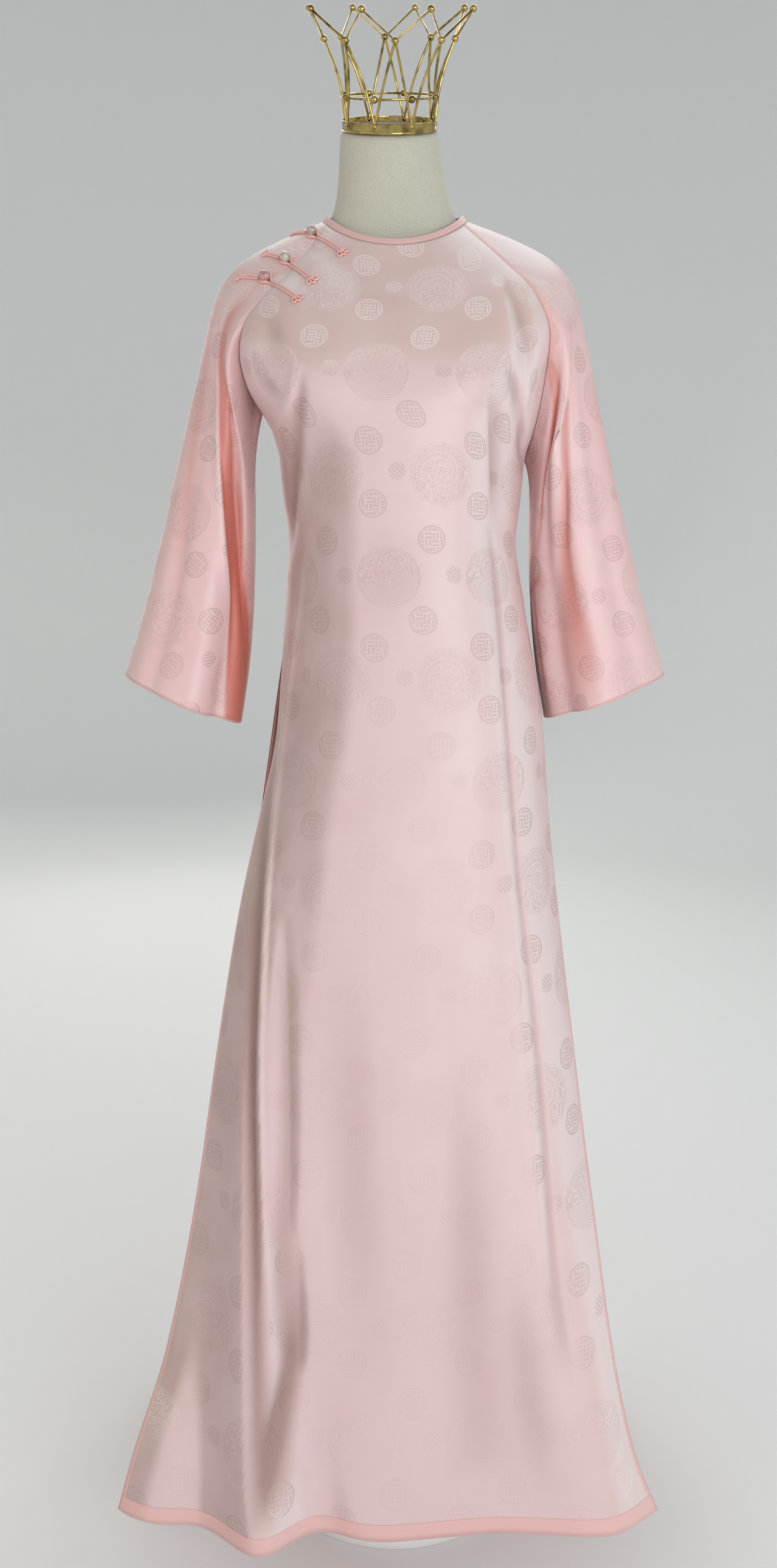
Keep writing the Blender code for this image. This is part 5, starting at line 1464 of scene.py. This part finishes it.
def build_form(finishes):
    """The torso: rings of squared ovals, |x/a|^n + |y/b|^n = 1, with a bust and a leaning neck."""
    table = np.asarray(FORM_RINGS)
    even = np.linspace(table[0, 0], table[-1, 0], 120)
    heights = np.unique(np.concatenate([even, table[:3, 0], table[-3:, 0]]))
    half, front, back, square = smoothed(through(table, heights), 1).T[:, :, None]
    turns = circle(96)
    sine, cosine = np.sin(turns)[None], np.cos(turns)[None]
    power = 2.0 / square
    x = half * np.sign(sine) * np.abs(sine) ** power
    y = -np.where(cosine > 0, front, back) * np.sign(cosine) * np.abs(cosine) ** power
    level = heights[:, None]
    lean = ease((level - LEAN_FROM) / (heights[-1] - LEAN_FROM))
    for cup_x, cup_height, wide, tall, swell in CUPS:
        off = ((x - cup_x) / wide) ** 2 + ((level - cup_height) / tall) ** 2
        y = y - np.where(cosine > 0, swell * np.exp(-off), 0.0)
    z = level + lean * math.tan(math.radians(CAP_TILT)) * y
    rings = np.stack([x + NECK_LEAN[0] * lean, y + NECK_LEAN[1] * lean, z], axis=-1)
    keep("dress_form_linen", "dress_form", *stacked(rings), finishes["linen"], "cream_form_cloth")


def cap_frame():
    """Where the cap sits: its middle, leaning forward."""
    place = Matrix.Translation((*NECK_LEAN, FORM_RINGS[-1][0] + CAP_ABOVE))
    return np.array(place @ Matrix.Rotation(math.radians(CAP_TILT), 4, "X"))


def crown_at(place, turn):
    """A point round the cap's own axis, from a radius and a height above its band."""
    return np.array([place[0] * math.sin(turn), -place[0] * math.cos(turn), CAP_HEIGHT + place[1]])


def wire(points, bends, closed=False):
    """A round wire through points, its corners rounded `bends` times."""
    path = rounded(np.array(points), bends, closed)
    along = np.gradient(path, axis=0)
    steep = np.abs(along[:, 2:]) > 0.7 * np.linalg.norm(along, axis=1, keepdims=True)
    up = np.where(steep, (1.0, 0.2, 0.0), (0.0, 0.0, 1.0))
    up = np.broadcast_to(up.mean(axis=0), path.shape)
    rings = tube(path, CROWN_WIRE, CROWN_WIRE, 12, up, closed)
    return looped(rings) if closed else stacked(rings)


def build_crown(finishes):
    """The neck cap with its gold wire crown: a ring, outward posts and a zigzag of eight points."""
    step = 2 * math.pi / CROWN_POINTS
    band = turned(CAP_BAND, 96)
    parts = [looped(band), wire([crown_at(CROWN_RING, turn) for turn in circle(48)], 0, True)]
    zigzag = []
    for k in range(CROWN_POINTS):
        turn = (k + 0.5 + CROWN_TURN) * step
        foot, waist, peak = (crown_at(place, turn) for place in (CROWN_FOOT, CROWN_RING, CROWN_PEAK))
        for side in (-1, 1):
            knee = crown_at(CROWN_KNEE, turn + side * CROWN_KNEE_TURN * step)
            valley = crown_at(CROWN_VALLEY, turn + side * 0.5 * step)
            parts.append(wire([foot, knee, valley], 3))
        zigzag += [peak, valley]
        parts += [ball(middle, CROWN_BALL, 20, 12) for middle in (waist, valley, peak)]
        parts.append(ball(foot, CROWN_WIRE * 1.7, 12, 8))
    parts.append(wire(zigzag, 0, True))
    place = cap_frame()
    for name, (points, faces), finish_made, slot in (
        ("crown_gold_wire", together(parts), finishes["gold"], "polished_gold_wire"),
        ("neck_cap_board", stacked(turned(CAP_BOARD, 64)), finishes["board"], "cream_form_cloth"),
    ):
        keep(name, "neck_cap", points @ place[:3, :3].T + place[:3, 3], faces, finish_made, slot)


def build_stand(finishes):
    """A round base plate with a softened rim, and the pole with its collar."""
    for name, profile, sides in (("base_plate", PLATE_PROFILE, 128), ("pole", POLE_PROFILE, 48)):
        shape = stacked(turned(profile, sides))
        keep(f"{name}_steel", name, *shape, finishes["steel"], "white_coated_steel")


# ---- sewing


def sewn_line(name, path, up, finishes, stitch):
    """A row of hand stitches: one short rounded bar of thread at every step along a path.

    Each bar is rings of five points whose radius goes as the square root of sin, from end to end.
    """
    pitch, length = stitch
    run = run_of(path)
    count = max(2, int(run[-1] / pitch))
    starts = (np.arange(count) + 0.25) * run[-1] / count
    spot, end, top = (
        np.stack([np.interp(at, run, held[:, k]) for k in range(3)], axis=1)
        for at, held in ((starts, path), (starts + length, path), (starts, up))
    )
    along, top = end - spot, unit(top)
    side = unit(np.cross(along, top))
    share = np.array([0.06, 0.35, 0.65, 0.94])
    girth = THREAD_RADIUS * np.sqrt(np.sin(math.pi * share))
    turn = circle(5)
    across = (girth[:, None] * np.cos(turn))[None, ..., None] * side[:, None, None]
    lifted = (girth[:, None] * np.sin(turn))[None, ..., None] * top[:, None, None]
    rings = spot[:, None, None] + along[:, None, None] * share[None, :, None, None] + across + lifted
    vertices = np.concatenate([rings.reshape(count, 20, 3), spot[:, None], end[:, None]], axis=1)
    _, faces = stacked(rings[0])
    faces = [[number * 22 + i for i in face] for number in range(count) for face in faces]
    keep(name, None, vertices.reshape(-1, 3), faces, finishes["band"], "doubled_rose_satin")


def sew(panels, sleeves, finishes):
    """The stitches that show: over the hems, the slits' turnings, the cuffs and under the neck band."""
    for side, (grid, normal) in panels.items():
        rise = run_of(grid[:, grid.shape[1] // 2])
        row = int(np.searchsorted(rise, HEM_TURNED))
        share = (HEM_TURNED + 0.0004 - rise[row - 1]) / (rise[row] - rise[row - 1])
        path = grid[row - 1] * (1 - share) + grid[row] * share
        sewn_line(f"stitches_hem_{side}", path[2:-2], normal[row, 2:-2], finishes, HEM_STITCH)
        for hand, edge, beside in (("right", 0, 1), ("left", -1, -2)):
            step = unit(grid[:SKIRT_ROWS, beside] - grid[:SKIRT_ROWS, edge]) * (SLIT_TURNED - MM)
            path = grid[:SKIRT_ROWS, edge] + step + normal[:SKIRT_ROWS, beside] * 0.0001
            up = normal[6:SKIRT_ROWS, beside]
            sewn_line(f"stitches_slit_{side}_{hand}", path[6:], up, finishes, HEM_STITCH)
    for hand, held in sleeves.items():
        path, up = (np.concatenate([rows[-3], rows[-3][:1]]) for rows in held)
        sewn_line(f"stitches_cuff_{hand}", path, up, finishes, CUFF_STITCH)
    low, across, out = band_frame(np.linspace(0, 360, 361))
    sewn_line("stitches_neck_band", low + across * 0.0014 + out * BAND_THICK, out, finishes, BAND_STITCH)


# ---- the room


def build_room():
    """A seamless bowl of pale paper: floor out to a wide curve, then a round wall, open above."""
    curve = np.radians(np.linspace(0, 90, 12))
    profile = [(0.02, 0.0), (1.2, 0.0), (2.2, 0.0)]
    profile += [(FLOOR_REACH + FLOOR_CURVE * math.sin(a), FLOOR_CURVE * (1 - math.cos(a))) for a in curve]
    profile += [(FLOOR_REACH + FLOOR_CURVE, height) for height in (2.4, 4.4)]
    vertices = np.concatenate([turned(profile, ROOM_SIDES).reshape(-1, 3), [(0.0, 0.0, 0.0)]])
    faces = grid_quads(len(profile), ROOM_SIDES, True)
    faces += fan(0, ROOM_SIDES, len(vertices) - 1)
    meshed("backdrop", vertices, [face[::-1] for face in faces], backdrop_paper())


def add_light(name, place, aim, size, watts, colour):
    """A softbox at a place, turned to face a point, that cameras don't see."""
    lamp = bpy.data.lights.new(name, "AREA")
    lamp.shape = "RECTANGLE"
    lamp.size, lamp.size_y = size
    lamp.energy = watts
    lamp.color = linear(colour)[:3]
    light = bpy.data.objects.new(name, lamp)
    light.location = place
    light.rotation_euler = (Vector(aim) - Vector(place)).to_track_quat("-Z", "Y").to_euler()
    light.visible_camera = False
    bpy.context.scene.collection.objects.link(light)


def light_and_camera():
    """A broad softbox low in front, a softer one overhead, a weak one behind, and the camera."""
    for row in LIGHTS:
        add_light(*row)
    world = bpy.data.worlds.new("studio")
    world.use_nodes = True
    shade = world.node_tree.nodes["Background"]
    shade.inputs["Color"].default_value = linear(WORLD_COLOUR)
    shade.inputs["Strength"].default_value = WORLD_STRENGTH
    bpy.context.scene.world = world
    bpy.context.scene.view_settings.view_transform = "Standard"
    lens = bpy.data.cameras.new("camera")
    lens.sensor_fit = "VERTICAL"
    lens.sensor_height = 36.0
    lens.lens = CAMERA_FOCUS / IMAGE_TALL * lens.sensor_height
    lens.shift_x = (IMAGE_WIDE / 2 - CAMERA_AXIS[0]) / IMAGE_TALL
    lens.shift_y = (CAMERA_AXIS[1] - IMAGE_TALL / 2) / IMAGE_TALL
    lens.clip_end = 30
    camera = bpy.data.objects.new("camera", lens)
    camera.location = CAMERA_PLACE
    camera.rotation_euler = (math.radians(90), 0, 0)
    bpy.context.scene.collection.objects.link(camera)
    bpy.context.scene.camera = camera


# ---- all of it


def build():
    """Makes every piece, sews it, and sets the room round it."""
    finishes = {
        # In each satin the third colour is painted dull shade where the cloth leans back and the fourth
        # painted shade in creases; the sleeves' copy is painted pinker for light glowing through the thin
        # silk, its crease shade salmon.
        "satin": damask_satin("rose_silk_damask_satin_woven", "#E4C6C5", "#DEC1B8", "#8C6458"),
        "sleeve": damask_satin("rose_silk_damask_satin_woven_sleeves", "#EEC5C3", "#E6C4BE", "#D0644E"),
        "band": doubled_satin(),
        "cord": bias_cord(),
        "bead_1": polished_quartz("rose_quartz_smoky_polished", "#B2948A", "#E2CEC6"),
        "bead_2": polished_quartz("rose_quartz_pale_polished", "#C3B7A8", "#EFE6DE"),
        "bead_3": polished_quartz("rose_quartz_polished", "#C98F8D", "#E8C2BF"),
        "linen": form_linen("form_cover_linen_woven", "#C6C3B2", "#8F8A78"),
        "board": form_linen("neck_cap_felt_pressed", "#7C6B5C", "#4C4136"),
        "gold": polished_gold(),
        "steel": coated_steel(),
    }
    stations = stations_of_rows()
    seams = {}
    for side, edge, tables in (
        ("front", RAGLAN_FRONT, (RAGLAN_FRONT_RIGHT, RAGLAN_FRONT_LEFT)),
        ("back", RAGLAN_BACK, (RAGLAN_BACK_RIGHT, RAGLAN_BACK_LEFT)),
    ):
        seams[side] = (raglan(tables[0], UNDERARM_RIGHT, -edge), raglan(tables[1], UNDERARM_LEFT, edge))
    front = panel_points(FRONT_EDGES, seams["front"], FRONT_MIDDLE, FRONT_COLUMNS, FRONT_FOLDS, stations, -1)
    back = panel_points(BACK_EDGES, seams["back"], BACK_MIDDLE, BACK_COLUMNS, BACK_FOLDS, stations, 1)
    panels, sleeves, sheets = {}, {}, {}
    right = sleeve_points(SLEEVE_RIGHT, sleeve_ring(front, back, -1), SLEEVE_ROWS)
    left = sleeve_points(SLEEVE_LEFT, sleeve_ring(front, back, 1), SLEEVE_ROWS)
    for side, grid, normal, creases, cut in (
        ("front", front, outward(front, False), FRONT_CREASES, FRONT_CUT),
        ("back", back, -outward(back, False), BACK_CREASES, BACK_CUT),
    ):
        *sheets[side], grid, bent = build_panel(side, grid, normal, creases, cut, finishes)
        panels[side] = (grid, bent)
    for hand, grid, normal, creases, shade, cut in (
        ("right", right, -outward(right, True), SLEEVE_RIGHT_CREASES, SLEEVE_RIGHT_SHADE, SLEEVE_RIGHT_CUT),
        ("left", left, outward(left, True), SLEEVE_LEFT_CREASES, SLEEVE_LEFT_SHADE, SLEEVE_LEFT_CUT),
    ):
        *sheets[hand], grid, bent = build_sleeve(hand, grid, normal, creases, shade, cut, finishes)
        sleeves[hand] = (grid, bent)
    band = build_neck_band(finishes)
    sew(panels, sleeves, finishes)
    front, right = panels["front"][0], sleeves["right"][0]
    points = np.concatenate([front.reshape(-1, 3), right.reshape(-1, 3)])
    faces = grid_quads(*front.shape[:2], False)
    faces += grid_quads(*right.shape[:2], True, front.shape[0] * front.shape[1])
    build_frogs(BVHTree.FromPolygons(points.tolist(), faces), finishes)
    build_form(finishes)
    build_crown(finishes)
    build_stand(finishes)
    build_room()
    light_and_camera()


build()
